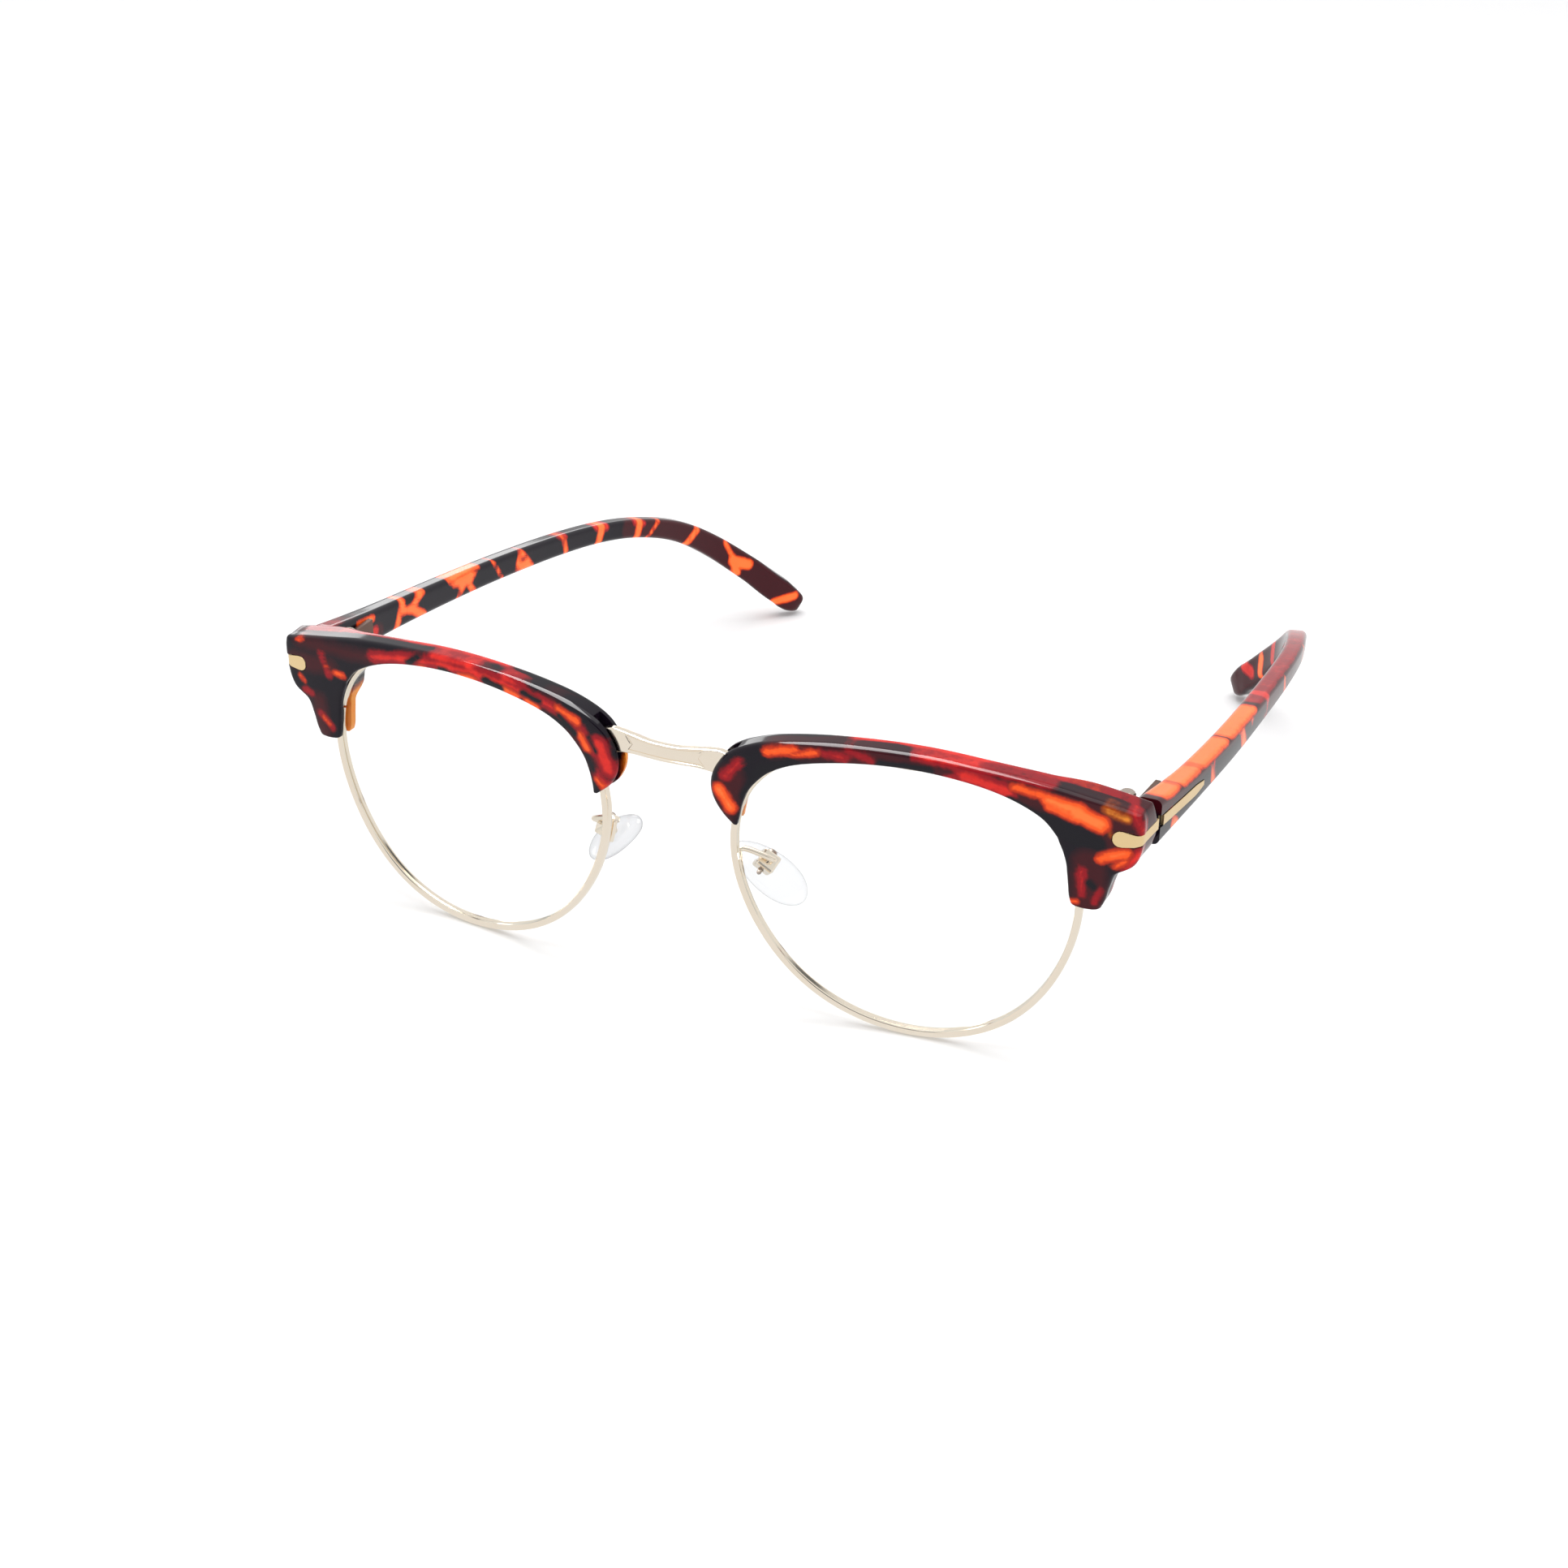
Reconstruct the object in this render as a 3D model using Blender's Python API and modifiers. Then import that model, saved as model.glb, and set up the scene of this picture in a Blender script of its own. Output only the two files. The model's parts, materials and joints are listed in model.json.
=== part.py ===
"""Half rim (browline) eyeglasses: plastic brows and temples on metal eyewires, at real size.

Origin on the resting surface under the middle of the object. X runs to the wearer's left,
-Y is the side that the lenses face, +Z is up. Every size below is in millimetres.
"""

import math

import bmesh
import bpy
from mathutils import Matrix, Vector

MM = 0.001

# ---- driving dimensions ----
RIM_X = 36.9              # middle of one eyewire from the middle of the object
RIM_Z = 21.533             # the same above the surface that it rests on
RIM_Y = -69.795            # the same in front of the origin
WRAP = math.radians(6.3)  # each rim turns back at its outer side
LEAN = math.radians(2.8)  # and leans forward at its top when the temples rest on their tips

LENS_CENTRE = (-0.7, 2.4)
LENS_RADIUS = 23.65
LENS_WAVES = ((2, 1.63, -0.34), (3, -0.14, 1.28), (4, -0.50, 0.0))
LENS_THICKNESS = 1.6
LENS_SAG = 2.2            # how far the middle of a lens stands ahead of its edge
WIRE_WIDTH = 1.1          # eyewire, across the lens plane
WIRE_DEPTH = 1.4          # eyewire, front to back
GROOVE = 0.45
FIT = 0.1                 # clearance between neighbours

CLOSING_ANGLE = 19.0      # where the eyewire is split, measured about the lens centre
BROW_FRONT = -1.8
BROW_BACK = 1.9
ENDPIECE_BACK = 8.4       # the endpiece's back face, behind the rims' plane
SLOT_HALF = 1.0           # half the width of the brow's channel

# Brow stations from the nose to the temple: (inner u, inner v, outer u, outer v) about the rim's middle
BROW_STATIONS = (
    (-25.5, 10.1, -26.1, 10.1), (-25.2, 11.4, -28.1, 11.8), (-24.8, 13.2, -29.4, 14.2),
    (-24.0, 15.4, -29.6, 16.7), (-22.6, 17.4, -28.6, 19.3), (-20.4, 19.4, -26.2, 21.9),
    (-16.8, 21.1, -21.0, 23.9), (-11.5, 22.3, -13.5, 25.1), (-5.0, 23.1, -5.5, 25.6),
    (2.0, 23.2, 2.5, 25.6), (9.0, 22.4, 10.5, 25.0), (14.5, 21.0, 18.5, 24.2),
    (18.8, 18.9, 25.5, 23.0), (21.0, 16.6, 31.6, 21.8), (21.6, 15.4, 33.1, 20.9),
    (22.2, 14.0, 33.1, 16.4), (22.7, 12.3, 32.2, 13.5), (22.9, 10.8, 29.8, 11.7),
    (23.1, 9.2, 28.8, 9.3), (23.3, 7.4, 28.1, 7.0), (23.9, 6.2, 27.1, 6.1),
)

# Temple stations from the joint to the tip: (outer x, y behind the rim, middle z, height, thickness)
TEMPLE_STATIONS = (
    (70.2, 8.75, 38.7, 6.9, 3.7), (70.6, 17.6, 37.9, 5.8, 3.6), (70.9, 27.6, 37.0, 5.0, 3.5),
    (71.0, 44.6, 35.5, 4.5, 3.4), (70.6, 62.2, 33.9, 4.2, 3.3), (69.7, 81.6, 31.8, 3.9, 3.3),
    (68.3, 96.6, 29.7, 3.7, 3.3), (66.3, 108.2, 27.2, 3.7, 3.4), (63.8, 119.5, 23.2, 4.1, 3.6),
    (60.3, 129.2, 17.3, 4.6, 3.7), (55.5, 136.9, 10.7, 5.1, 3.8), (50.8, 141.9, 5.1, 5.4, 3.8),
    (48.7, 143.9, 2.68, 5.3, 3.6), (47.8, 144.7, 1.65, 4.3, 3.0), (47.3, 145.1, 1.2, 2.4, 1.6),
)

HINGE_X = 64.6
HINGE_Y = 10.6            # behind the rim's plane
HINGE_LOW = 35.0
HINGE_HIGH = 41.2
KNUCKLE = 1.25
PIN = 0.6

PAD_MIDDLE = (13.0, 3.7, 19.8)
PAD_LONG = 6.8            # half lengths of a pad
PAD_SHORT = 3.9
PAD_THICK = 2.2
PAD_BOX_UP = 1.8          # the pad's box sits this far above its middle

BRIDGE_STATIONS = (       # x, y behind the rims' plane, middle z, height of the band
    (11.5, -3.65, 37.9, 6.6), (10.6, -3.77, 38.9, 5.6), (9.6, -3.9, 39.8, 4.6), (8.2, -4.05, 40.4, 3.9),
    (5.6, -4.4, 40.55, 3.2), (2.6, -4.7, 40.4, 2.8), (0.0, -4.8, 40.35, 2.75),
)
BRIDGE_THICK = 1.3

INLAY_Z = 39.2
INLAY_HEIGHT = 1.6

parts = bpy.data.collections.new("half_rim_eyeglasses")
cutters = bpy.data.collections.new("cutters")


# ---- helpers ----
def clear_scene():
    for obj in list(bpy.data.objects):
        bpy.data.objects.remove(obj, do_unlink=True)
    for collection in (parts, cutters):
        bpy.context.scene.collection.children.link(collection)


def material(name, colour, roughness, metallic=0.0, alpha=1.0):
    made = bpy.data.materials.new(name)
    made.use_nodes = True
    shader = made.node_tree.nodes["Principled BSDF"]
    shader.inputs["Base Color"].default_value = (*colour, 1.0)
    shader.inputs["Roughness"].default_value = roughness
    shader.inputs["Metallic"].default_value = metallic
    shader.inputs["Alpha"].default_value = alpha
    return made


FINISHES = {
    "tortoise": ((0.20, 0.03, 0.02), 0.12),
    "champagne_gold": ((0.90, 0.80, 0.66), 0.18, 1.0),
    "inlay_gold": ((0.86, 0.66, 0.35), 0.25, 1.0),
    "hinge_metal": ((0.78, 0.52, 0.36), 0.3, 1.0),
    "screw_steel": ((0.70, 0.70, 0.72), 0.25, 1.0),
    "clear_lens": ((0.97, 0.98, 0.99), 0.02, 0.0, 0.2),
    "pad_silicone": ((0.93, 0.94, 0.95), 0.15, 0.0, 0.5),
}


def side_name(side):
    return "left" if side > 0 else "right"


def add_object(name, mesh, finish, parent=None, collection=None):
    obj = bpy.data.objects.new(name, mesh)
    (collection or parts).objects.link(obj)
    if finish:
        mesh.materials.append(material(name + "_" + finish, *FINISHES[finish]))
    if parent:
        obj.parent = parent
        obj.matrix_parent_inverse = parent.matrix_world.inverted()
    return obj


def mesh_from(name, build):
    """A mesh filled by build(bm), its normals made to point out."""
    bm = bmesh.new()
    build(bm)
    bmesh.ops.recalc_face_normals(bm, faces=bm.faces)
    mesh = bpy.data.meshes.new(name)
    bm.to_mesh(mesh)
    bm.free()
    return mesh


def loft(name, rings, finish, parent=None, collection=None, ring_closed=False):
    """A skin through rings of equally many points, capped at both ends unless it closes on itself."""

    def build(bm):
        rows = [[bm.verts.new(point) for point in ring] for ring in rings]
        pairs = list(zip(rows, rows[1:]))
        if ring_closed:
            pairs.append((rows[-1], rows[0]))
        else:
            bm.faces.new(rows[0])
            bm.faces.new(rows[-1])
        for low, high in pairs:
            for i in range(len(low)):
                j = (i + 1) % len(low)
                bm.faces.new((low[i], low[j], high[j], high[i]))

    obj = add_object(name, mesh_from(name, build), finish, parent, collection)
    obj.data.shade_smooth()
    obj.data.set_sharp_from_angle(angle=math.radians(35))
    return obj


def box(name, size, place, finish=None, parent=None, collection=None, round_edges=0.0):
    def build(bm):
        bmesh.ops.create_cube(bm, size=MM)
        bmesh.ops.transform(bm, matrix=Matrix.Diagonal((*size, 1.0)), verts=bm.verts)
        bmesh.ops.transform(bm, matrix=place, verts=bm.verts)

    obj = add_object(name, mesh_from(name, build), finish, parent, collection)
    if round_edges:
        bevel = obj.modifiers.new("rounded", "BEVEL")
        bevel.width = round_edges * MM
        bevel.segments = 2
    return obj


def turned(name, profile, place, finish=None, parent=None, collection=None, steps=14):
    """A round piece: profile is (radius, height) from the top's middle down its outer side."""
    mesh = bpy.data.meshes.new(name)
    points = [(radius * MM, 0.0, height * MM) for radius, height in profile]
    mesh.from_pydata(points, [(i, i + 1) for i in range(len(points) - 1)], [])
    obj = add_object(name, mesh, finish, None, collection)
    obj.matrix_world = place
    if parent:
        obj.parent = parent
        obj.matrix_parent_inverse = parent.matrix_world.inverted()
    screw = obj.modifiers.new("turned", "SCREW")
    screw.steps = steps
    screw.render_steps = steps
    screw.use_merge_vertices = True
    screw.merge_threshold = 0.000001
    return obj


def screw_profile(head, head_height, shank, length):
    """Head up: its top is at height 0, and the shank's tip is at -length."""
    return (
        (0.0, 0.0), (head * 0.8, 0.0), (head, -head_height * 0.45), (head, -head_height),
        (shank, -head_height), (shank, -length + shank * 0.6), (shank * 0.45, -length), (0.0, -length),
    )


def cut(obj, cutter, operation="DIFFERENCE"):
    cutter.hide_render = True
    cutter.display_type = "WIRE"
    step = obj.modifiers.new(operation.lower(), "BOOLEAN")
    step.operation = operation
    step.object = cutter
    step.solver = "EXACT"


def pointing(origin, up, across):
    """A matrix at origin (metres) whose Z is up and whose X is as near across as it can be."""
    z = Vector(up).normalized()
    x = (Vector(across) - z * Vector(across).dot(z)).normalized()
    y = z.cross(x)
    return Matrix.Translation(origin) @ Matrix((x, y, z)).transposed().to_4x4()


def smooth_row(rows, per_span):
    """Points through each row by Catmull-Rom, per_span of them between neighbours."""
    out = []
    last = len(rows) - 1
    for i in range(last):
        p0, p1, p2, p3 = (rows[max(0, min(last, i + k))] for k in (-1, 0, 1, 2))
        for step in range(per_span):
            t = step / per_span
            out.append(tuple(
                0.5 * (2 * b + (c - a) * t + (2 * a - 5 * b + 4 * c - d) * t * t
                       + (3 * b - a - 3 * c + d) * t ** 3)
                for a, b, c, d in zip(p0, p1, p2, p3)
            ))
    out.append(tuple(rows[-1]))
    return out


def ease(low, high, value):
    t = max(0.0, min(1.0, (value - low) / (high - low)))
    return t * t * (3 - 2 * t)


def rim_to_world(u, v, w, side):
    """u outwards, v up and w back from the middle of one rim, to metres in the object's frame."""
    x = RIM_X + u * math.cos(WRAP) - w * math.sin(WRAP)
    back = u * math.sin(WRAP) + w * math.cos(WRAP)
    y = back * math.cos(LEAN) - v * math.sin(LEAN)
    z = back * math.sin(LEAN) + v * math.cos(LEAN)
    return Vector((side * x, RIM_Y + y, RIM_Z + z)) * MM


def rim_axes(side):
    """Unit vectors of u, v and w in the object's frame."""
    start = rim_to_world(0, 0, 0, side)
    return [(rim_to_world(*step, side) - start) / MM for step in ((1, 0, 0), (0, 1, 0), (0, 0, 1))]


def behind_rim(x, y, z, side):
    """A point given by its distance y behind the rims' plane, to metres in the object's frame."""
    return Vector((side * x, RIM_Y + y, z)) * MM


def lens_point(angle, grow=0.0):
    """A point of the lens opening's outline, moved outwards by grow along its normal."""
    def at(theta):
        radius = LENS_RADIUS
        for order, cosine, sine in LENS_WAVES:
            radius += cosine * math.cos(order * theta) + sine * math.sin(order * theta)
        return Vector((LENS_CENTRE[0] + radius * math.cos(theta), LENS_CENTRE[1] + radius * math.sin(theta)))

    tangent = (at(angle + 0.01) - at(angle - 0.01)).normalized()
    return at(angle) + Vector((tangent.y, -tangent.x)) * grow


# ---- lens and eyewire ----
def lens(side):
    count = 48
    half = LENS_THICKNESS / 2
    edge = 0.08
    tip = GROOVE - 0.12
    rings = []

    def ring(scale, grow, w):
        points = []
        for i in range(count):
            outline = lens_point(2 * math.pi * i / count, grow)
            u = LENS_CENTRE[0] + (outline.x - LENS_CENTRE[0]) * scale
            v = LENS_CENTRE[1] + (outline.y - LENS_CENTRE[1]) * scale
            points.append(rim_to_world(u, v, w, side))
        return points

    for scale in (0.12, 0.4, 0.7, 0.9, 1.0):
        rings.append(ring(scale, -edge, -half - LENS_SAG * (1 - scale * scale)))
    rings.append(ring(1.0, -edge, -0.3))
    rings.append(ring(1.0, tip, 0.0))
    rings.append(ring(1.0, -edge, 0.3))
    for scale in (1.0, 0.9, 0.7, 0.4, 0.12):
        rings.append(ring(scale, -edge, half - LENS_SAG * (1 - scale * scale)))
    return loft(side_name(side) + "_lens", rings, "clear_lens")


def eyewire(side):
    """A grooved wire round the lens, split at the closing blocks."""
    half = WIRE_DEPTH / 2
    section = ((0.0, -half), (WIRE_WIDTH, -half), (WIRE_WIDTH, half), (0.0, half),
               (0.0, 0.35), (GROOVE, 0.0), (0.0, -0.35))
    start = math.radians(CLOSING_ANGLE + 0.5)
    sweep = 2 * math.pi - math.radians(1.0)
    count = 72
    rings = []
    for i in range(count + 1):
        angle = start + sweep * i / count
        rings.append([rim_to_world(*lens_point(angle, grow), w, side) for grow, w in section])
    return loft(side_name(side) + "_eyewire", rings, "champagne_gold")


def closing_frame(side):
    """Matrix at the eyewire's split: X outwards across the wire, Y up along it, Z to the back."""
    angle = math.radians(CLOSING_ANGLE)
    here = lens_point(angle)
    along = (lens_point(angle + 0.01) - here).normalized()
    u_axis, v_axis, w_axis = rim_axes(side)
    up = u_axis * along.x + v_axis * along.y
    out = u_axis * along.y - v_axis * along.x
    return Matrix.Translation(rim_to_world(here.x, here.y, 0, side)) @ Matrix((out, up, w_axis)).transposed().to_4x4()


def shifted(place, x, y, z):
    return place @ Matrix.Translation(Vector((x, y, z)) * MM)


BLOCK_OUT = 2.3           # closing blocks: size across the wire, and front to back
BLOCK_DEEP = 1.5
BLOCK_LOW = 2.0           # their lengths along the wire, the upper one being long enough for a second screw
BLOCK_HIGH = 4.3
SEAM = 0.15


def closing_blocks(side):
    name = side_name(side)
    place = closing_frame(side)
    middle = WIRE_WIDTH + FIT + BLOCK_OUT / 2
    low = box(name + "_closing_block_lower", (BLOCK_OUT, BLOCK_LOW, BLOCK_DEEP),
              shifted(place, middle, -SEAM - BLOCK_LOW / 2, 0), "champagne_gold")
    high = box(name + "_closing_block_upper", (BLOCK_OUT, BLOCK_HIGH, BLOCK_DEEP),
               shifted(place, middle, SEAM + BLOCK_HIGH / 2, 0), "champagne_gold")
    u_axis, v_axis, w_axis = (Vector(place.col[i][:3]) for i in range(3))
    top = shifted(place, middle, -SEAM - BLOCK_LOW - 0.1, 0).translation
    down = pointing(top - v_axis * 0.55 * MM, -v_axis, u_axis)
    turned(name + "_closing_screw", screw_profile(0.8, 0.5, 0.42, 4.2), down, "screw_steel", steps=12)
    drill = turned(name + "_closing_drill", ((0.0, 0.5), (0.52, 0.5), (0.52, -4.4), (0.0, -4.4)),
                   down, collection=cutters, steps=12)
    cut(low, drill)
    cut(high, drill)
    back = shifted(place, middle, SEAM + BLOCK_HIGH - 1.15, 0)
    screw_place = pointing(back.translation + w_axis * (BROW_BACK + 0.9) * MM, w_axis, u_axis)
    turned(name + "_brow_screw_temporal", screw_profile(0.9, 0.5, 0.42, 3.3), screw_place, "screw_steel", steps=12)
    hole = turned(name + "_temporal_drill",
                  ((0.0, 6.0), (1.1, 6.0), (1.1, -0.6), (0.55, -0.6), (0.55, -3.6), (0.0, -3.6)),
                  screw_place, collection=cutters, steps=12)
    cut(high, hole)
    return place, hole


# ---- brow ----
def brow_back(u, v):
    """Depth of the brow's back face: thin over the lens, deep at the endpiece."""
    deep = ENDPIECE_BACK - u * math.sin(WRAP) - BROW_BACK
    full = ease(19, 26, u) * ease(11.5, 14.5, v) * (1 - 0.65 * ease(16.5, 21.5, v))
    return BROW_BACK + 0.4 * ease(14, 24, u) + (deep - 0.4) * full


def brow_to_world(u, v, w, side):
    """As rim_to_world, with the endpiece's side face turned to run straight back."""
    point = rim_to_world(u, v, w, side)
    point.x += side * max(0.0, w) * (math.sin(WRAP) + 0.08) * ease(20, 30, u) * MM
    return point


def brow(side):
    name = side_name(side) + "_brow"
    rings = []
    for inner_u, inner_v, outer_u, outer_v in smooth_row(BROW_STATIONS, 2):
        inner = Vector((inner_u, inner_v))
        outer = Vector((outer_u, outer_v))
        width = (outer - inner).length
        step = (outer - inner) / width
        small = min(1.0, width / 3.0)
        ring = []
        for end, sign, round_by in ((inner, 1, 0.35 * small), (outer, -1, 0.8 * small)):
            tips = [(end + step * sign * round_by, 0.0), (end + step * sign * round_by * 0.3, round_by * 0.3),
                    (end, round_by)]
            front = [(point, BROW_FRONT + lift) for point, lift in tips]
            back = [(point, brow_back(*point) - lift * 0.7) for point, lift in reversed(tips)]
            side_points = front + back
            ring += side_points if sign < 0 else side_points[::-1]
        rings.append([brow_to_world(point.x, point.y, w, side) for point, w in ring])
    return loft(name, rings, "tortoise")


def cut_brow(obj, side, closing_place, temporal_drill, bridge_object):
    name = side_name(side)
    count = 56
    rings = []
    for w in (-SLOT_HALF, SLOT_HALF):
        rings.append([rim_to_world(*lens_point(2 * math.pi * i / count, WIRE_WIDTH + FIT), w, side)
                      for i in range(count)])
    channel = loft(name + "_channel", rings, None, collection=cutters)
    cut(obj, channel)
    cut(bridge_object, channel)
    pocket = box(name + "_pocket", (BLOCK_OUT + 2.0, BLOCK_LOW + BLOCK_HIGH + 1.6, 2 * SLOT_HALF),
                 shifted(closing_place, WIRE_WIDTH + BLOCK_OUT / 2 - 0.7, (BLOCK_HIGH - BLOCK_LOW) / 2 - 0.3, 0),
                 collection=cutters)
    cut(obj, pocket)
    cut(obj, temporal_drill)


# ---- bridge ----
def bridge():
    """A bent band with its ends widened into plates behind the brows' front flanges."""
    half = [(-x, y, z, height) for x, y, z, height in BRIDGE_STATIONS[:-1]]
    middle = [(BRIDGE_STATIONS[-1][0], *BRIDGE_STATIONS[-1][1:])]
    rows = smooth_row(half + middle + [(-x, y, z, h) for x, y, z, h in reversed(half)], 3)
    rings = []
    for i, (x, y, z, height) in enumerate(rows):
        before = rows[max(0, i - 1)]
        after = rows[min(len(rows) - 1, i + 1)]
        along = Vector((after[0] - before[0], after[1] - before[1])).normalized()
        back = Vector((-along.y, along.x, 0.0))
        t = BRIDGE_THICK / 2
        h = height / 2
        lip = 0.25
        section = ((-t, -h + lip), (-t, h - lip), (-t + lip, h), (t - lip, h), (t, h - lip), (t, -h + lip),
                   (t - lip, -h), (-t + lip, -h))
        rings.append([Vector((x, RIM_Y + y - 0.05 * up, z + up)) * MM + back * depth * MM for depth, up in section])
    obj = loft("bridge", rings, "champagne_gold")
    panel = []
    for i, (x, y, z, height) in enumerate(rows):
        if abs(x) > 5.2:
            continue
        h = height / 2 - 0.55
        panel.append([Vector((x, RIM_Y + y + depth, z + up)) * MM
                      for depth, up in ((-2.0, -h), (-2.0, h), (-BRIDGE_THICK / 2 + 0.15, h),
                                        (-BRIDGE_THICK / 2 + 0.15, -h))])
    cut(obj, loft("bridge_panel", panel, None, collection=cutters))
    return obj


def nasal_screw(side, brow_object, bridge_object):
    """From behind, through the rear flange into the bridge's end plate."""
    name = side_name(side)
    u_axis, v_axis, w_axis = rim_axes(side)
    u, v = -26.6, 15.6
    place = pointing(rim_to_world(u, v, BROW_BACK + 0.6, side), w_axis, u_axis)
    turned(name + "_brow_screw_nasal", screw_profile(0.9, 0.5, 0.42, 3.0), place, "screw_steel", steps=12)
    drill = turned(name + "_nasal_drill",
                   ((0.0, 2.0), (1.1, 2.0), (1.1, -0.6), (0.55, -0.6), (0.55, -3.2), (0.0, -3.2)),
                   place, collection=cutters, steps=12)
    slot = box(name + "_nasal_slot", (8.0, 13.0, 2 * (BRIDGE_THICK / 2 + 0.25)),
               pointing(rim_to_world(-29.4, 16.8, 0.0, side), w_axis, u_axis), collection=cutters)
    cut(brow_object, slot)
    cut(brow_object, drill)
    cut(bridge_object, drill)


# ---- inlays ----
def inlay_rows(side):
    """The brow inlay's path in plan, from its rounded front end round the corner to the joint."""
    v = (INLAY_Z - RIM_Z)
    flat = [brow_to_world(u, v, BROW_FRONT, side) for u in (29.0, 29.5, 30.3, 31.2, 32.0)]
    corner = [brow_to_world(32.35, v, BROW_FRONT + 0.14, side), brow_to_world(32.75, v, BROW_FRONT + 0.4, side),
              brow_to_world(33.0, v, BROW_FRONT + 0.8, side)]
    run = [brow_to_world(33.1, v, w, side) for w in (0.0, 1.5, 3.0, 4.6)]
    return flat + corner + run


def strip(name, rows, heights, outward, inward, side, finish=None, parent=None, collection=None):
    """A band that follows rows, standing out by outward and let in by inward."""
    rings = []
    for i, here in enumerate(rows):
        along = (rows[min(i + 1, len(rows) - 1)] - rows[max(i - 1, 0)]).normalized()
        out = Vector((along.y, -along.x, 0.0)).normalized() * side
        tall = heights[i] / 2
        low = Vector((here.x, here.y, (here.z / MM - tall) * MM))
        high = Vector((here.x, here.y, (here.z / MM + tall) * MM))
        rings.append([low + out * outward * MM, high + out * outward * MM,
                      high - out * inward * MM, low - out * inward * MM])
    return loft(name, rings, finish, parent, collection)


def brow_inlay(side, brow_object):
    name = side_name(side)
    rows = inlay_rows(side)
    rows = [Vector((p.x, p.y, INLAY_Z * MM)) for p in rows]
    heights = [1.2, 2.1, 2.4, 2.0, 1.6] + [INLAY_HEIGHT] * 7
    strip(name + "_brow_inlay", rows, heights, 0.12, 0.35, side, "inlay_gold")
    ahead = rows[0] + (rows[0] - rows[1]).normalized() * 0.12 * MM
    past = rows[-1] + Vector((0.0, 2.0 * MM, 0.0))
    wide = [h + 0.24 for h in [heights[0]] + heights + [heights[-1]]]
    cut(brow_object, strip(name + "_brow_recess", [ahead] + rows + [past], wide, 0.8, 0.42, side,
                           collection=cutters))


def temple_rows(per_span):
    return smooth_row(TEMPLE_STATIONS, per_span)


def temple_inlay(side, temple_object, parent):
    name = side_name(side)
    rows = []
    for outer_x, y, z, height, thick in temple_rows(3):
        if 9.0 < y < 30.0:
            rows.append(behind_rim(outer_x, y, INLAY_Z - 0.3 - (y - 8.8) * 0.105, side))
    heights = [INLAY_HEIGHT] * (len(rows) - 1) + [1.1]
    strip(name + "_temple_inlay", rows, heights, 0.12, 0.35, side, "inlay_gold", parent)
    ahead = rows[0] - (rows[1] - rows[0]).normalized() * 2.0 * MM
    past = rows[-1] + (rows[-1] - rows[-2]).normalized() * 0.12 * MM
    wide = [h + 0.24 for h in [heights[0]] + heights + [heights[-1]]]
    cut(temple_object, strip(name + "_temple_recess", [ahead] + rows + [past], wide, 0.8, 0.42, side,
                             collection=cutters))


# ---- temple and hinge ----
def temple(side, parent):
    rows = temple_rows(3)
    rings = []
    for i, (outer_x, y, z, height, thick) in enumerate(rows):
        before = rows[max(0, i - 1)]
        after = rows[min(len(rows) - 1, i + 1)]
        along = Vector((after[0] - before[0], after[1] - before[1], after[2] - before[2])).normalized()
        across = Vector((along.y, -along.x, 0.0)).normalized()
        if i == 0:
            across = Vector((1.0, 0.0, 0.0))
            along = Vector((0.0, 1.0, 0.0))
        up = across.cross(along).normalized()
        centre = Vector((outer_x, y, z)) - across * thick / 2
        t = thick / 2
        h = height / 2
        r = min(0.7, t * 0.5)
        section = ((t, -h + r), (t, h - r), (t - 0.3 * r, h - 0.3 * r), (t - r, h), (-t + r, h),
                   (-t + 0.3 * r, h - 0.3 * r), (-t, h - r), (-t, -h + r), (-t + 0.3 * r, -h + 0.3 * r),
                   (-t + r, -h), (t - r, -h), (t - 0.3 * r, -h + 0.3 * r))
        points = [centre + across * a + up * b for a, b in section]
        rings.append([behind_rim(p.x, p.y, max(p.z, 0.0), side) for p in points])
    return loft(side_name(side) + "_temple", rings, "tortoise", parent)


def hinge_place(side, z):
    return Matrix.Translation(behind_rim(HINGE_X, HINGE_Y, z, side))


def knuckle(name, side, low, high, collection, finish=None, parent=None):
    return turned(name, ((0.0, high - low), (KNUCKLE, high - low), (KNUCKLE, 0.0), (0.0, 0.0)),
                  hinge_place(side, low), finish, parent, collection, steps=16)


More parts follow.
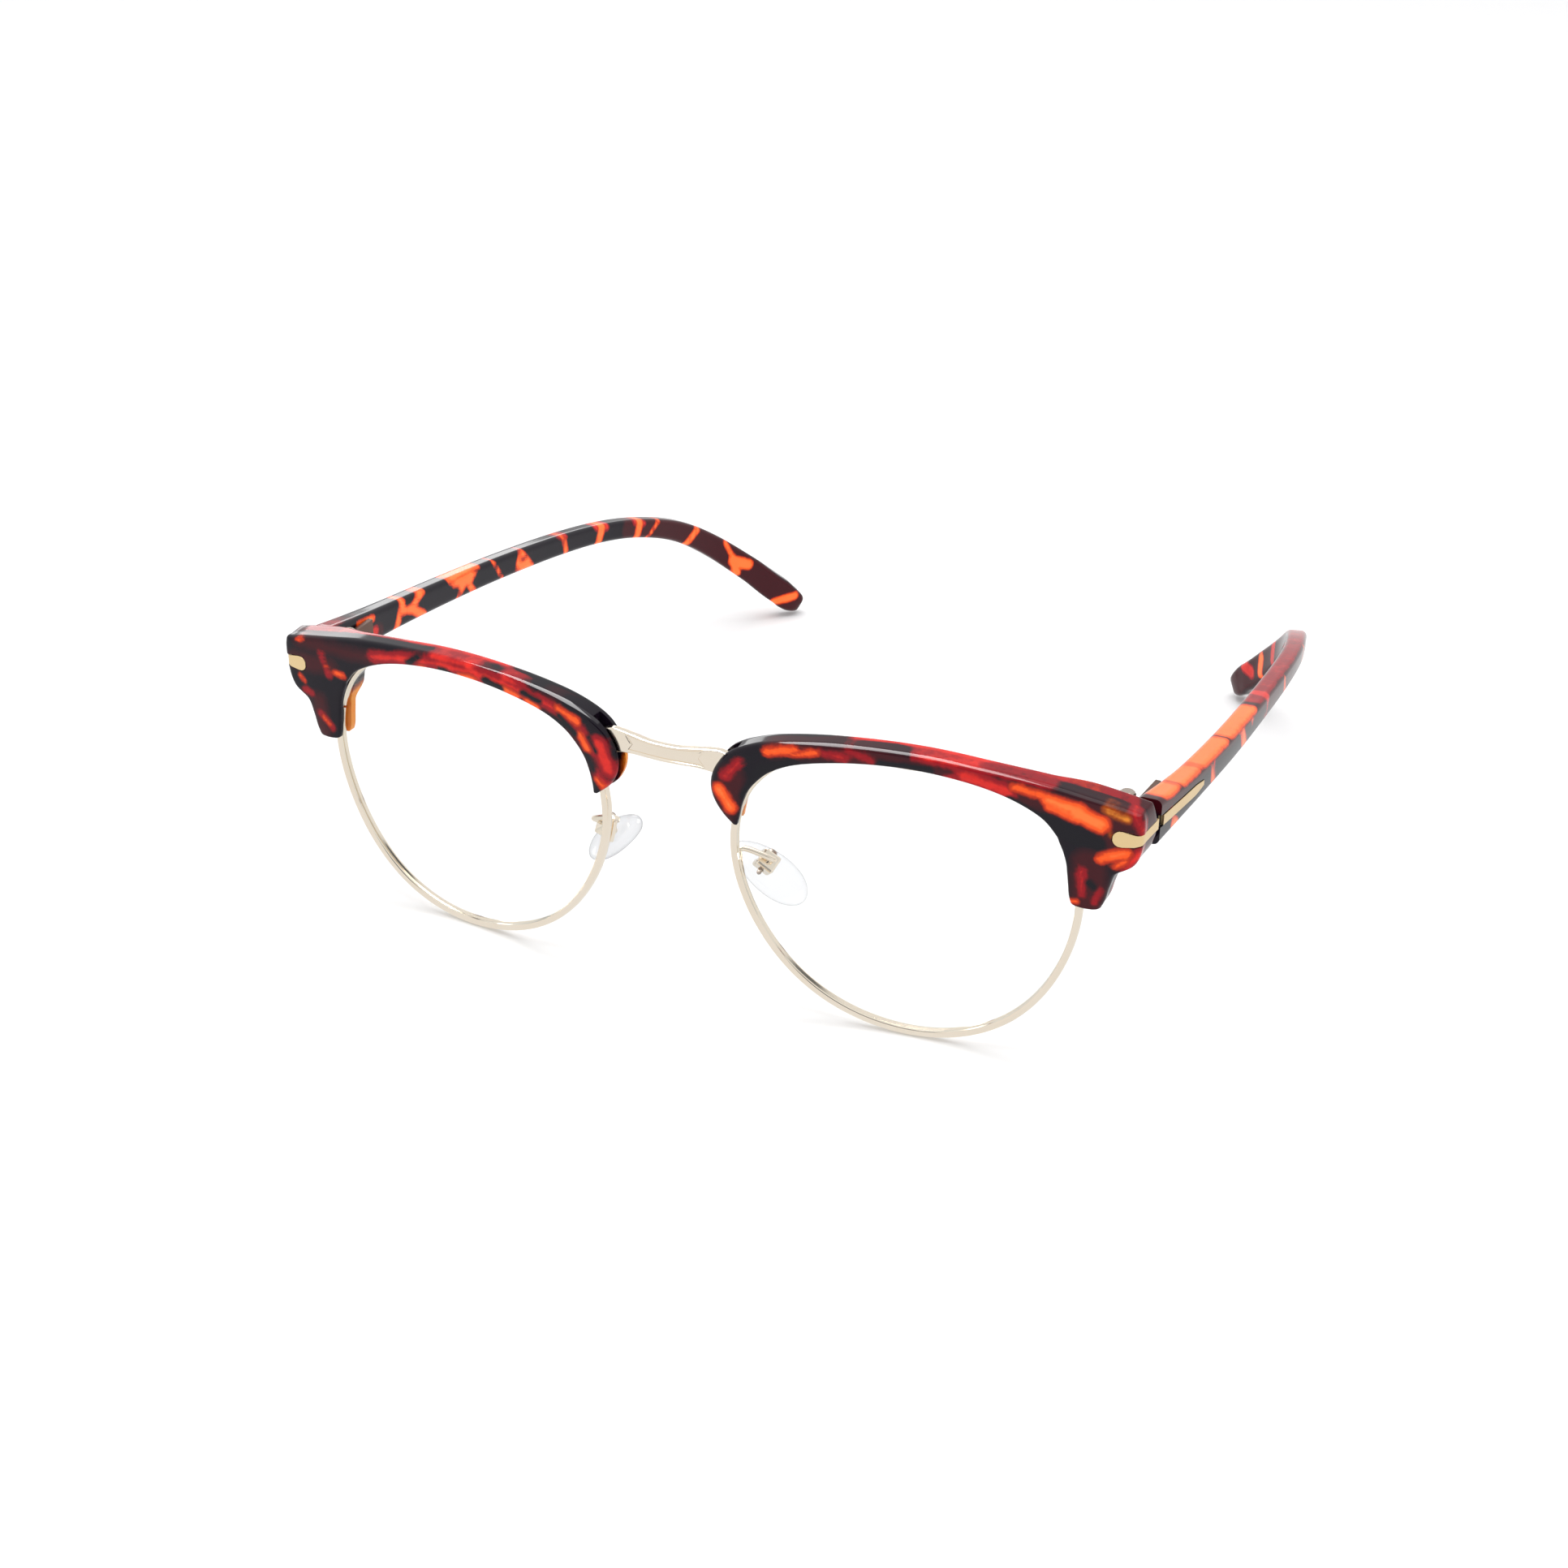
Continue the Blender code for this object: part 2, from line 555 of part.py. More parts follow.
def hinge(side, pivot):
    name = side_name(side)
    third = (HINGE_HIGH - HINGE_LOW) / 3
    middle_z = (HINGE_HIGH + HINGE_LOW) / 2
    tall = HINGE_HIGH - HINGE_LOW
    face = ENDPIECE_BACK
    bore = turned(name + "_hinge_bore", ((0.0, tall + 1.0), (PIN + FIT, tall + 1.0), (PIN + FIT, -1.0), (0.0, -1.0)),
                  hinge_place(side, HINGE_LOW), collection=cutters, steps=12)
    plate = Matrix.Translation(behind_rim(HINGE_X - 0.8, face + 0.45, middle_z, side))
    front = box(name + "_front_hinge", (4.2, 0.7, tall - 0.5), plate, "hinge_metal")
    for label, low in (("lower", HINGE_LOW), ("upper", HINGE_HIGH - third + 0.1)):
        web = box(name + "_front_web_" + label, (2 * KNUCKLE - 0.3, HINGE_Y - face - 0.5, third - 0.6),
                  Matrix.Translation(behind_rim(HINGE_X, (HINGE_Y + face + 0.5) / 2, low + third / 2 - 0.05, side)),
                  collection=cutters)
        cut(front, web, "UNION")
        cut(front, knuckle(name + "_front_knuckle_" + label, side, low, low + third - 0.1, cutters), "UNION")
    cut(front, bore)

    inner = [(row[0] - row[4], row[1]) for row in TEMPLE_STATIONS[:2]]
    lean = math.atan2(inner[1][0] - inner[0][0], inner[1][1] - inner[0][1])
    start = HINGE_Y + 0.8
    length = 8.0
    inner_x = inner[0][0] + (start - inner[0][1]) * math.tan(lean)
    gap = 0.25
    thick = 0.8
    turn = Matrix.Rotation(-lean * side, 4, "Z")
    foot = Matrix.Translation(behind_rim(inner_x - gap - thick / 2, start, middle_z, side)) @ turn
    back = box(name + "_temple_hinge", (thick, length, tall - 1.4), shifted(foot, 0, length / 2, -0.6),
               "hinge_metal", pivot)
    web = box(name + "_temple_web", (2.3, 1.3, third - 0.2), shifted(foot, -0.95 * side, 0.66, 0),
              collection=cutters)
    cut(back, web, "UNION")
    arm = box(name + "_temple_arm", (1.5, 1.9, third - 0.2),
              Matrix.Translation(behind_rim(HINGE_X + 0.35, HINGE_Y + 0.75, middle_z, side)), collection=cutters)
    cut(back, arm, "UNION")
    cut(back, knuckle(name + "_temple_knuckle", side, middle_z - third / 2 + 0.101, middle_z + third / 2 - 0.101,
                      cutters), "UNION")
    cut(back, bore)
    screw = ((0.0, 0.0), (0.85, 0.0), (1.1, -0.2), (1.1, -0.45), (PIN, -0.45), (PIN, -tall - 0.5), (0.0, -tall - 0.5))
    turned(name + "_hinge_screw", screw, hinge_place(side, HINGE_HIGH + 0.5), "screw_steel", steps=14)


# ---- nose pads ----
def pad_frame(side):
    """X runs down the pad, Y from its front edge to its back edge, Z away from the nose."""
    down = Vector((0.76 * side, 0.21, -0.60)).normalized()
    back = Vector((0.15 * side, 0.78, 0.55))
    back = (back - down * back.dot(down)).normalized()
    out = down.cross(back)
    if out.x * side < 0:
        out = -out
    return Matrix.Translation(behind_rim(*PAD_MIDDLE, side)) @ Matrix((down, back, out)).transposed().to_4x4()


def nose_pad(side, pivot):
    name = side_name(side)
    place = pad_frame(side)
    count = 24
    levels = ((-0.50, 0.55), (-0.42, 0.78), (-0.18, 0.96), (0.05, 1.0), (0.3, 0.93), (0.5, 0.7))
    rings = []
    for height, scale in levels:
        ring = []
        for i in range(count):
            angle = 2 * math.pi * i / count
            long = PAD_LONG * scale * math.cos(angle)
            short = PAD_SHORT * scale * math.sin(angle) * (1 + 0.14 * math.cos(angle))
            ring.append(place @ (Vector((long, short, PAD_THICK * height)) * MM))
        rings.append(ring)
    pad = loft(name + "_nose_pad", rings, "pad_silicone", pivot)
    tab = box(name + "_pad_tab", (2.0, 1.0, 2.6), shifted(place, -PAD_BOX_UP, 0, PAD_THICK / 2 + 0.9),
              collection=cutters)
    cut(pad, tab, "UNION")
    holder = box(name + "_pad_box", (3.0, 2.9, 2.5), shifted(place, -PAD_BOX_UP, 0, PAD_THICK / 2 + 1.75),
                 "champagne_gold", round_edges=0.35)
    slot = box(name + "_pad_slot", (4.0, 1.4, 2.6), shifted(place, -PAD_BOX_UP, 0, PAD_THICK / 2 + 1.2),
               collection=cutters)
    cut(holder, slot)
    back = Vector(place.col[1][:3])
    down = Vector(place.col[0][:3])
    axis = shifted(place, -PAD_BOX_UP, 0, PAD_THICK / 2 + 1.5).translation
    screw_place = pointing(axis + back * 2.1 * MM, back, down)
    turned(name + "_pad_screw", screw_profile(0.75, 0.5, 0.36, 4.4), screw_place, "screw_steel", steps=12)
    drill = turned(name + "_pad_drill", ((0.0, 0.5), (0.48, 0.5), (0.48, -5.0), (0.0, -5.0)), screw_place,
                   collection=cutters, steps=12)
    cut(pad, drill)
    cut(holder, drill)
    return place


def tube(name, points, radius, finish):
    """A wire through points (metres), as a mesh."""
    curve = bpy.data.curves.new(name + "_path", "CURVE")
    curve.dimensions = "3D"
    curve.bevel_depth = radius * MM
    curve.bevel_resolution = 2
    curve.use_fill_caps = True
    spline = curve.splines.new("POLY")
    spline.points.add(len(points) - 1)
    for spot, point in zip(spline.points, points):
        spot.co = (*point, 1.0)
    guide = bpy.data.objects.new(name + "_guide", curve)
    bpy.context.scene.collection.objects.link(guide)
    bpy.context.view_layer.update()
    graph = bpy.context.evaluated_depsgraph_get()
    mesh = bpy.data.meshes.new_from_object(guide.evaluated_get(graph))
    bpy.data.objects.remove(guide)
    bm = bmesh.new()
    bm.from_mesh(mesh)
    bmesh.ops.remove_doubles(bm, verts=bm.verts, dist=0.000001)
    bmesh.ops.recalc_face_normals(bm, faces=bm.faces)
    bm.to_mesh(mesh)
    bm.free()
    return add_object(name, mesh, finish)


def pad_arm(side, place):
    """A bent wire from the back of the eyewire, up and over to the pad's box."""
    above_box = [tuple(shifted(place, -PAD_BOX_UP, 0, PAD_THICK / 2 + 3.0 + rise).translation)
                 for rise in (1.1, 0.5, 0.06)]
    rows = [
        tuple(rim_to_world(-26.0, 0.6, 1.3, side)), tuple(rim_to_world(-26.4, 2.6, 1.5, side)),
        tuple(rim_to_world(-26.0, 4.1, 2.0, side)), *above_box,
    ]
    points = [Vector(row) for row in smooth_row(rows, 4)]
    tube(side_name(side) + "_pad_arm", points, 0.45, "champagne_gold")


def pivot_at(name, point):
    empty = bpy.data.objects.new(name, None)
    empty.location = point
    parts.objects.link(empty)
    bpy.context.view_layer.update()
    return empty


def build_side(side, bridge_object):
    name = side_name(side)
    lens(side)
    eyewire(side)
    place, temporal_drill = closing_blocks(side)
    brow_object = brow(side)
    cut_brow(brow_object, side, place, temporal_drill, bridge_object)
    nasal_screw(side, brow_object, bridge_object)
    brow_inlay(side, brow_object)
    pivot = pivot_at(name + "_temple_pivot", behind_rim(HINGE_X, HINGE_Y, HINGE_LOW, side))
    temple_object = temple(side, pivot)
    temple_inlay(side, temple_object, pivot)
    hinge(side, pivot)
    pad_place = pad_frame(side)
    pad_axis = shifted(pad_place, -PAD_BOX_UP, 0, PAD_THICK / 2 + 1.5).translation
    pad_pivot = pivot_at(name + "_pad_pivot", pad_axis)
    pad_arm(side, nose_pad(side, pad_pivot))


clear_scene()
bridge_object = bridge()
for side in (1, -1):
    build_side(side, bridge_object)
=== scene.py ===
# %% [markdown]
# # Half rim (browline) eyeglasses
#
# A pair of spectacles is mostly *bands swept along curves*: two grooved eyewires, a bent
# bridge, two brow bars and two temples. This lesson sweeps each of those bands as a grid of
# points, so that every highlight runs smoothly, and then paints tortoiseshell on the plastic
# with signed distances in millimetres.
#
# The measurements are in millimetres, in the frame of the CAD part:
# +X to the wearer's left, +Y back along the temples, +Z up.

import json
import math

import bmesh
import bpy
import numpy as np
from mathutils import Matrix, Vector


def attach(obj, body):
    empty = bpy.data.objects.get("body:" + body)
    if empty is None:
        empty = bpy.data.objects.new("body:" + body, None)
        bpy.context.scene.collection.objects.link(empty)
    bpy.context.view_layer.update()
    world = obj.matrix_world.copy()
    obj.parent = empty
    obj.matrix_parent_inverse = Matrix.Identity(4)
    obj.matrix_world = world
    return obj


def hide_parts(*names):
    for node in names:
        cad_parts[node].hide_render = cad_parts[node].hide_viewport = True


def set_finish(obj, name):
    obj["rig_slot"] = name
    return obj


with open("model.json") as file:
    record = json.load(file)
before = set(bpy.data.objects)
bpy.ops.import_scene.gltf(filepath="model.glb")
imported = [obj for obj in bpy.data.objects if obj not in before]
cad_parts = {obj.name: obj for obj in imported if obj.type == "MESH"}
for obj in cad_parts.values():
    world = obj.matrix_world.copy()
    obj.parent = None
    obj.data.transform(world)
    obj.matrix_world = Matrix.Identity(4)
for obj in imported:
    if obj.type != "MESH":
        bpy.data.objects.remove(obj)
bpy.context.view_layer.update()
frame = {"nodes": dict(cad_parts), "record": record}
MM = 0.001

# %% [markdown]
# ## Measurements
#
# Each rim has its own axes: u outwards, v up and w back, from the middle of that rim. The rims
# wrap back at their outer sides and lean a little forwards. The lens opening is a circle with
# three waves on it, and LENS_WAVES holds (k, cosine part, sine part) of each. Long thin pieces
# are given by stations: a row of numbers for each place along the piece.

# %% Driving measurements
RIM = (36.9, -69.795, 21.533)
WRAP = math.radians(6.3)
LEAN = math.radians(2.8)
LENS_CENTRE = (-0.7, 2.4)
LENS_RADIUS = 23.65
LENS_WAVES = ((2, 1.63, -0.34), (3, -0.14, 1.28), (4, -0.50, 0.0))
LENS_SAG = 2.2
WIRE_WIDTH, WIRE_DEPTH, GROOVE = 1.1, 1.4, 0.45
BROW_FRONT, BROW_BACK, ENDPIECE_BACK = -1.8, 1.9, 8.4
INLAY_Z, INLAY_HEIGHT = 39.2, 1.6
PAD_MIDDLE, PAD_LONG, PAD_SHORT, PAD_THICK, PAD_BOX_UP = (13.0, 3.7, 19.8), 6.8, 3.3, 2.2, 1.8
BRIDGE_THICK = 1.3

# The brow's inner edge (u, v) and outer edge (u, v), from the nasal lobe to the temporal one.
BROW_STATIONS = (
    (-25.5, 10.1, -26.1, 10.1), (-25.2, 11.4, -28.1, 11.8), (-24.8, 13.2, -29.4, 14.2),
    (-24.0, 15.4, -29.6, 16.7), (-22.6, 17.4, -28.6, 19.3), (-20.4, 19.4, -26.2, 21.9),
    (-16.8, 21.1, -21.0, 23.9), (-11.5, 22.3, -13.5, 25.1), (-5.0, 23.1, -5.5, 25.6),
    (2.0, 23.2, 2.5, 25.6), (9.0, 22.4, 10.5, 25.0), (14.5, 21.0, 18.5, 24.2),
    (18.8, 18.9, 25.5, 23.0), (21.0, 16.6, 31.6, 21.8), (21.6, 15.4, 33.1, 20.9),
    (22.2, 14.0, 33.1, 16.4), (22.7, 12.3, 32.2, 13.5), (22.9, 10.8, 29.8, 11.7),
    (23.1, 9.2, 28.9, 9.3), (23.3, 7.4, 28.4, 7.2), (23.6, 6.3, 27.9, 6.0),
)
# Outer x, y behind the rims, middle z, height and thickness, from the joint to the tip.
TEMPLE_STATIONS = (
    (70.2, 8.75, 38.7, 6.9, 3.7), (70.6, 17.6, 37.9, 5.8, 3.6), (70.9, 27.6, 37.0, 5.0, 3.5),
    (71.0, 44.6, 35.5, 4.5, 3.4), (70.6, 62.2, 33.9, 4.2, 3.3), (69.7, 81.6, 31.8, 3.9, 3.3),
    (68.3, 96.6, 29.7, 3.7, 3.3), (66.3, 108.2, 27.2, 3.7, 3.4), (63.8, 119.5, 23.2, 4.1, 3.6),
    (60.3, 129.2, 17.3, 4.6, 3.7), (55.5, 136.9, 10.7, 5.1, 3.8), (51.3, 141.4, 5.75, 5.35, 3.8),
    (49.7, 142.95, 3.85, 5.15, 3.7), (48.6, 143.95, 2.72, 4.5, 3.4), (47.85, 144.65, 1.9, 3.3, 2.8),
    (47.45, 145.0, 1.55, 1.9, 1.9), (47.3, 145.12, 1.42, 0.9, 1.0),
)
# Half of the bridge: x, y behind the rims, middle z and height.
BRIDGE_STATIONS = (
    (11.5, -3.65, 37.9, 6.6), (10.6, -3.77, 38.9, 5.6), (9.6, -3.9, 39.8, 4.6), (8.2, -4.05, 40.4, 3.9),
    (5.6, -4.4, 40.55, 3.2), (2.6, -4.7, 40.4, 2.8), (0.0, -4.8, 40.35, 2.75),
)
SIDES = {"left": 1, "right": -1}
for piece_name, stations in zip(("brow", "temple", "half bridge"),
                                (BROW_STATIONS, TEMPLE_STATIONS, BRIDGE_STATIONS)):
    print(piece_name, "stations:", len(stations))

# %% [markdown]
# ## Curves and frames
#
# A Catmull-Rom curve passes through every station. Between stations b and c, with neighbours
# a and d, it is
#
# p(t) = 1/2 (2b + (c - a) t + (2a - 5b + 4c - d) t^2 + (3b - a - 3c + d) t^3).

# %% Curve helpers
def smooth(rows, per_span):
    """Catmull-Rom points through rows, per_span of them in each span."""
    rows = np.asarray(rows, float)
    padded = np.vstack([rows[:1], rows, rows[-1:]])
    t = np.arange(per_span)[:, None] / per_span
    spans = []
    for a, b, c, d in zip(padded[:-3], padded[1:-2], padded[2:-1], padded[3:]):
        spans.append(0.5 * (2 * b + (c - a) * t + (2 * a - 5 * b + 4 * c - d) * t ** 2
                            + (3 * b - a - 3 * c + d) * t ** 3))
    return np.vstack(spans + [rows[-1:]])


def ease(low, high, value):
    """Smoothstep: 3t^2 - 2t^3, with t running from low to high."""
    t = np.clip((np.asarray(value, float) - low) / (high - low), 0, 1)
    return t * t * (3 - 2 * t)


def unit(v):
    """v divided by its own length."""
    return v / np.linalg.norm(v, axis=-1, keepdims=True)


def rim_to_world(u, v, w, side):
    """Rim axes to the object's frame, in mm: a turn by WRAP about v, then by LEAN about X."""
    u, v, w = np.broadcast_arrays(np.asarray(u, float), v, w)
    x = RIM[0] + u * math.cos(WRAP) - w * math.sin(WRAP)
    back = u * math.sin(WRAP) + w * math.cos(WRAP)
    y = RIM[1] + back * math.cos(LEAN) - v * math.sin(LEAN)
    z = RIM[2] + back * math.sin(LEAN) + v * math.cos(LEAN)
    return np.stack([side * x, y, z], axis=-1)


def behind_rim(x, y, z, side):
    """x outwards from the middle of the face, y back from the rims and z up from the table, in mm."""
    x, y, z = (np.asarray(value, float) for value in (x, y, z))
    return np.stack([side * x, RIM[1] + y, z], axis=-1)


def lens_outline(angle, grow=0.0):
    """The opening r = R + sum(a cos k t + b sin k t), moved outwards by grow along its normal."""
    def at(t):
        r = LENS_RADIUS + sum(a * np.cos(k * t) + b * np.sin(k * t) for k, a, b in LENS_WAVES)
        return np.stack([LENS_CENTRE[0] + r * np.cos(t), LENS_CENTRE[1] + r * np.sin(t)], axis=-1)

    along = unit(at(angle + 0.01) - at(angle - 0.01))
    return at(angle) + np.stack([along[..., 1], -along[..., 0]], axis=-1) * np.asarray(grow)[..., None]


top = lens_outline(np.array([math.pi / 2]))[0]
print("the lens opening reaches v = %.1f mm at u = %.1f mm" % (top[1], top[0]))

# %% [markdown]
# ## From a grid of points to a solid
#
# Rows of the grid are rings; neighbouring rings are joined by quads and the end rings are
# closed. Each quad spans a pyramid with the origin, and the sum of a . (b x c) over the quads
# tells the side that they face: if it comes out negative, the faces are turned round.

# %% Grid to mesh
SHARP = 38


def finish_surface(obj, sharp=SHARP):
    """Smooth shading that keeps edges sharper than this angle, in degrees."""
    mesh = obj.data
    mesh.polygons.foreach_set("use_smooth", [True] * len(mesh.polygons))
    mesh.set_sharp_from_angle(angle=math.radians(sharp))
    mesh.update()


def solid(name, rings, sharp=SHARP):
    """A closed mesh from rings (rows, columns, 3) in mm: quads between rings, a face at each end."""
    rings = np.asarray(rings, float)
    rows, columns = rings.shape[:2]
    points = rings.reshape(-1, 3) * MM
    i = np.arange(rows - 1)[:, None] * columns
    j = np.arange(columns)[None, :]
    after = (j + 1) % columns
    down = i + columns
    quads = np.stack([i + j, i + after, down + after, down + j], axis=-1).reshape(-1, 4)
    corners = points[quads]
    volume = np.einsum("ij,ij->i", corners[:, 0], np.cross(corners[:, 1], corners[:, 2])).sum()
    volume += np.einsum("ij,ij->i", corners[:, 0], np.cross(corners[:, 2], corners[:, 3])).sum()
    faces = quads.tolist()
    faces += [list(range(columns))[::-1], list(range((rows - 1) * columns, rows * columns))]
    if volume < 0:
        faces = [face[::-1] for face in faces]
    mesh = bpy.data.meshes.new(name)
    mesh.from_pydata(points.tolist(), [], faces)
    obj = bpy.data.objects.new(name, mesh)
    bpy.context.scene.collection.objects.link(obj)
    finish_surface(obj, sharp)
    return obj


def carve(obj, cutters, sharp=SHARP):
    """Takes the cutters out of obj, then removes them."""
    for cutter in cutters:
        modifier = obj.modifiers.new("carve", "BOOLEAN")
        modifier.operation = "DIFFERENCE"
        modifier.solver = "EXACT"
        modifier.object = cutter
    bpy.context.view_layer.update()
    graph = bpy.context.evaluated_depsgraph_get()
    carved = bpy.data.meshes.new_from_object(obj.evaluated_get(graph))
    obj.modifiers.clear()
    obj.data = carved
    for cutter in cutters:
        bpy.data.objects.remove(cutter)
    finish_surface(obj, sharp)


print("edges sharper than", SHARP, "degrees stay crisp")

# %% [markdown]
# ## Sections to sweep
#
# Most pieces are a section carried along a path. A rounded box is the section of a temple, of
# the bridge and of the gold bands; a circle is the section of a wire.

# %% Sections and sweeps
def arc(quarter, count):
    """(cos, sin) of count + 1 points through one quarter turn."""
    a = (quarter + np.arange(count + 1) / count) * math.pi / 2
    return np.stack([np.cos(a), np.sin(a)], axis=-1)


def circle(count, radius):
    """count points at radius (cos t, sin t), with t in equal steps through one full turn."""
    turn = 2 * math.pi * np.arange(count) / count
    return np.stack([np.cos(turn), np.sin(turn)], axis=-1) * radius


def rounded_box(half_a, half_b, radius, count, flat):
    """A rounded rectangle: four quarter turns of count steps, with flat points between them."""
    corners = ((half_a - radius, half_b - radius), (-half_a + radius, half_b - radius),
               (-half_a + radius, -half_b + radius), (half_a - radius, -half_b + radius))
    points = []
    for quarter, middle in enumerate(corners):
        turn = np.asarray(middle) + radius * arc(quarter, count)
        if points:
            steps = np.arange(1, flat + 1)[:, None]
            points += list(points[-1] + (turn[0] - points[-1]) * steps / (flat + 1))
        points += list(turn)
    return np.asarray(points)


def sweep(name, path, section, out):
    """path + a out + b (along x out) for each point (a, b) of the section, square to the path."""
    along = unit(np.gradient(path, axis=0))
    out = unit(out - along * (out * along).sum(-1, keepdims=True))
    across = np.cross(along, out)
    rings = path[:, None] + out[:, None] * section[:, :1] + across[:, None] * section[:, 1:]
    return solid(name, rings)


print("points round a box with 5 steps to a corner and 3 on a flat:", len(rounded_box(2, 1, 0.3, 5, 3)))

# %% [markdown]
# ## Filing a piece
#
# A finished piece says what it rides on, whose finish it takes and which CAD nodes it stands
# for, so that it moves with its joint and the plain solid under it is hidden.

# %% Filing
made = {}


def piece(obj, body, slot, *nodes):
    """Files a finished piece: what it rides on, whose finish it takes and what it stands for."""
    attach(obj, body)
    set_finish(obj, slot)
    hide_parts(*nodes)
    made[obj.name] = obj


print("pieces filed so far:", len(made))

# %% [markdown]
# ## Tortoiseshell by signed distance
#
# An image wrapped round the plastic would smear where the bars are carved, so the clouds are
# shapes instead. Each colour is a set of capsules: a segment with a radius. A point's field is
# the largest of (radius - distance to the segment), so it is positive inside and falls by one
# for each millimetre outside. Stored on the vertices it stays smooth between them, and the
# material can cut a crisp edge wherever the field crosses zero.

# %% Colour fields
FAR = -3.0


def capsules(points, table):
    """The largest of radius - |p - nearest point of the segment|, and never less than FAR."""
    field = np.full(len(points), FAR)
    for ax, ay, bx, by, radius in table:
        a = np.array([ax, ay], float)
        b = np.array([bx, by], float)
        t = np.clip(((points - a) @ (b - a)) / max(1e-9, (b - a) @ (b - a)), 0, 1)
        nearest = a + t[:, None] * (b - a)
        field = np.maximum(field, radius - np.linalg.norm(points - nearest, axis=1))
    return field


COLOURS = ("maroon", "ruby", "amber", "honey", "ink")


def paint(obj, plan, tables, behind=None, crisp=1.0):
    """Stores crisp times one field per colour. Where behind is 1, REAR_SHELL_AND_PAINTED_LIGHT's field takes over."""
    for colour in COLOURS:
        values = crisp * capsules(plan, tables.get(colour, ()))
        if behind is not None:
            rear = capsules(plan, REAR_SHELL_AND_PAINTED_LIGHT.get(colour, ()))
            values = values * (1 - behind) + rear * behind
        layer = obj.data.attributes.new(colour, "FLOAT", "POINT")
        layer.data.foreach_set("value", values.astype(np.float32))


def vertices_mm(obj):
    """The object's vertices as an array (points, 3) in mm."""
    flat = np.empty(len(obj.data.vertices) * 3, np.float32)
    obj.data.vertices.foreach_get("co", flat)
    return flat.reshape(-1, 3).astype(float) / MM


def rim_plan(points, side):
    """(u, v) and w of points given in mm: rim_to_world run backwards."""
    x = points[:, 0] * side - RIM[0]
    y = points[:, 1] - RIM[1]
    z = points[:, 2] - RIM[2]
    back = y * math.cos(LEAN) + z * math.sin(LEAN)
    u = x * math.cos(WRAP) + back * math.sin(WRAP)
    v = z * math.cos(LEAN) - y * math.sin(LEAN)
    return np.stack([u, v], axis=-1), back * math.cos(WRAP) - x * math.sin(WRAP)


print("fields:", ", ".join(COLOURS))

# %% [markdown]
# ## Where the clouds lie
#
# A capsule is one end, the other end and a radius in mm. On a brow an end is (u, v) on the rim;
# on a temple it is the length from the joint and the height from the middle line.

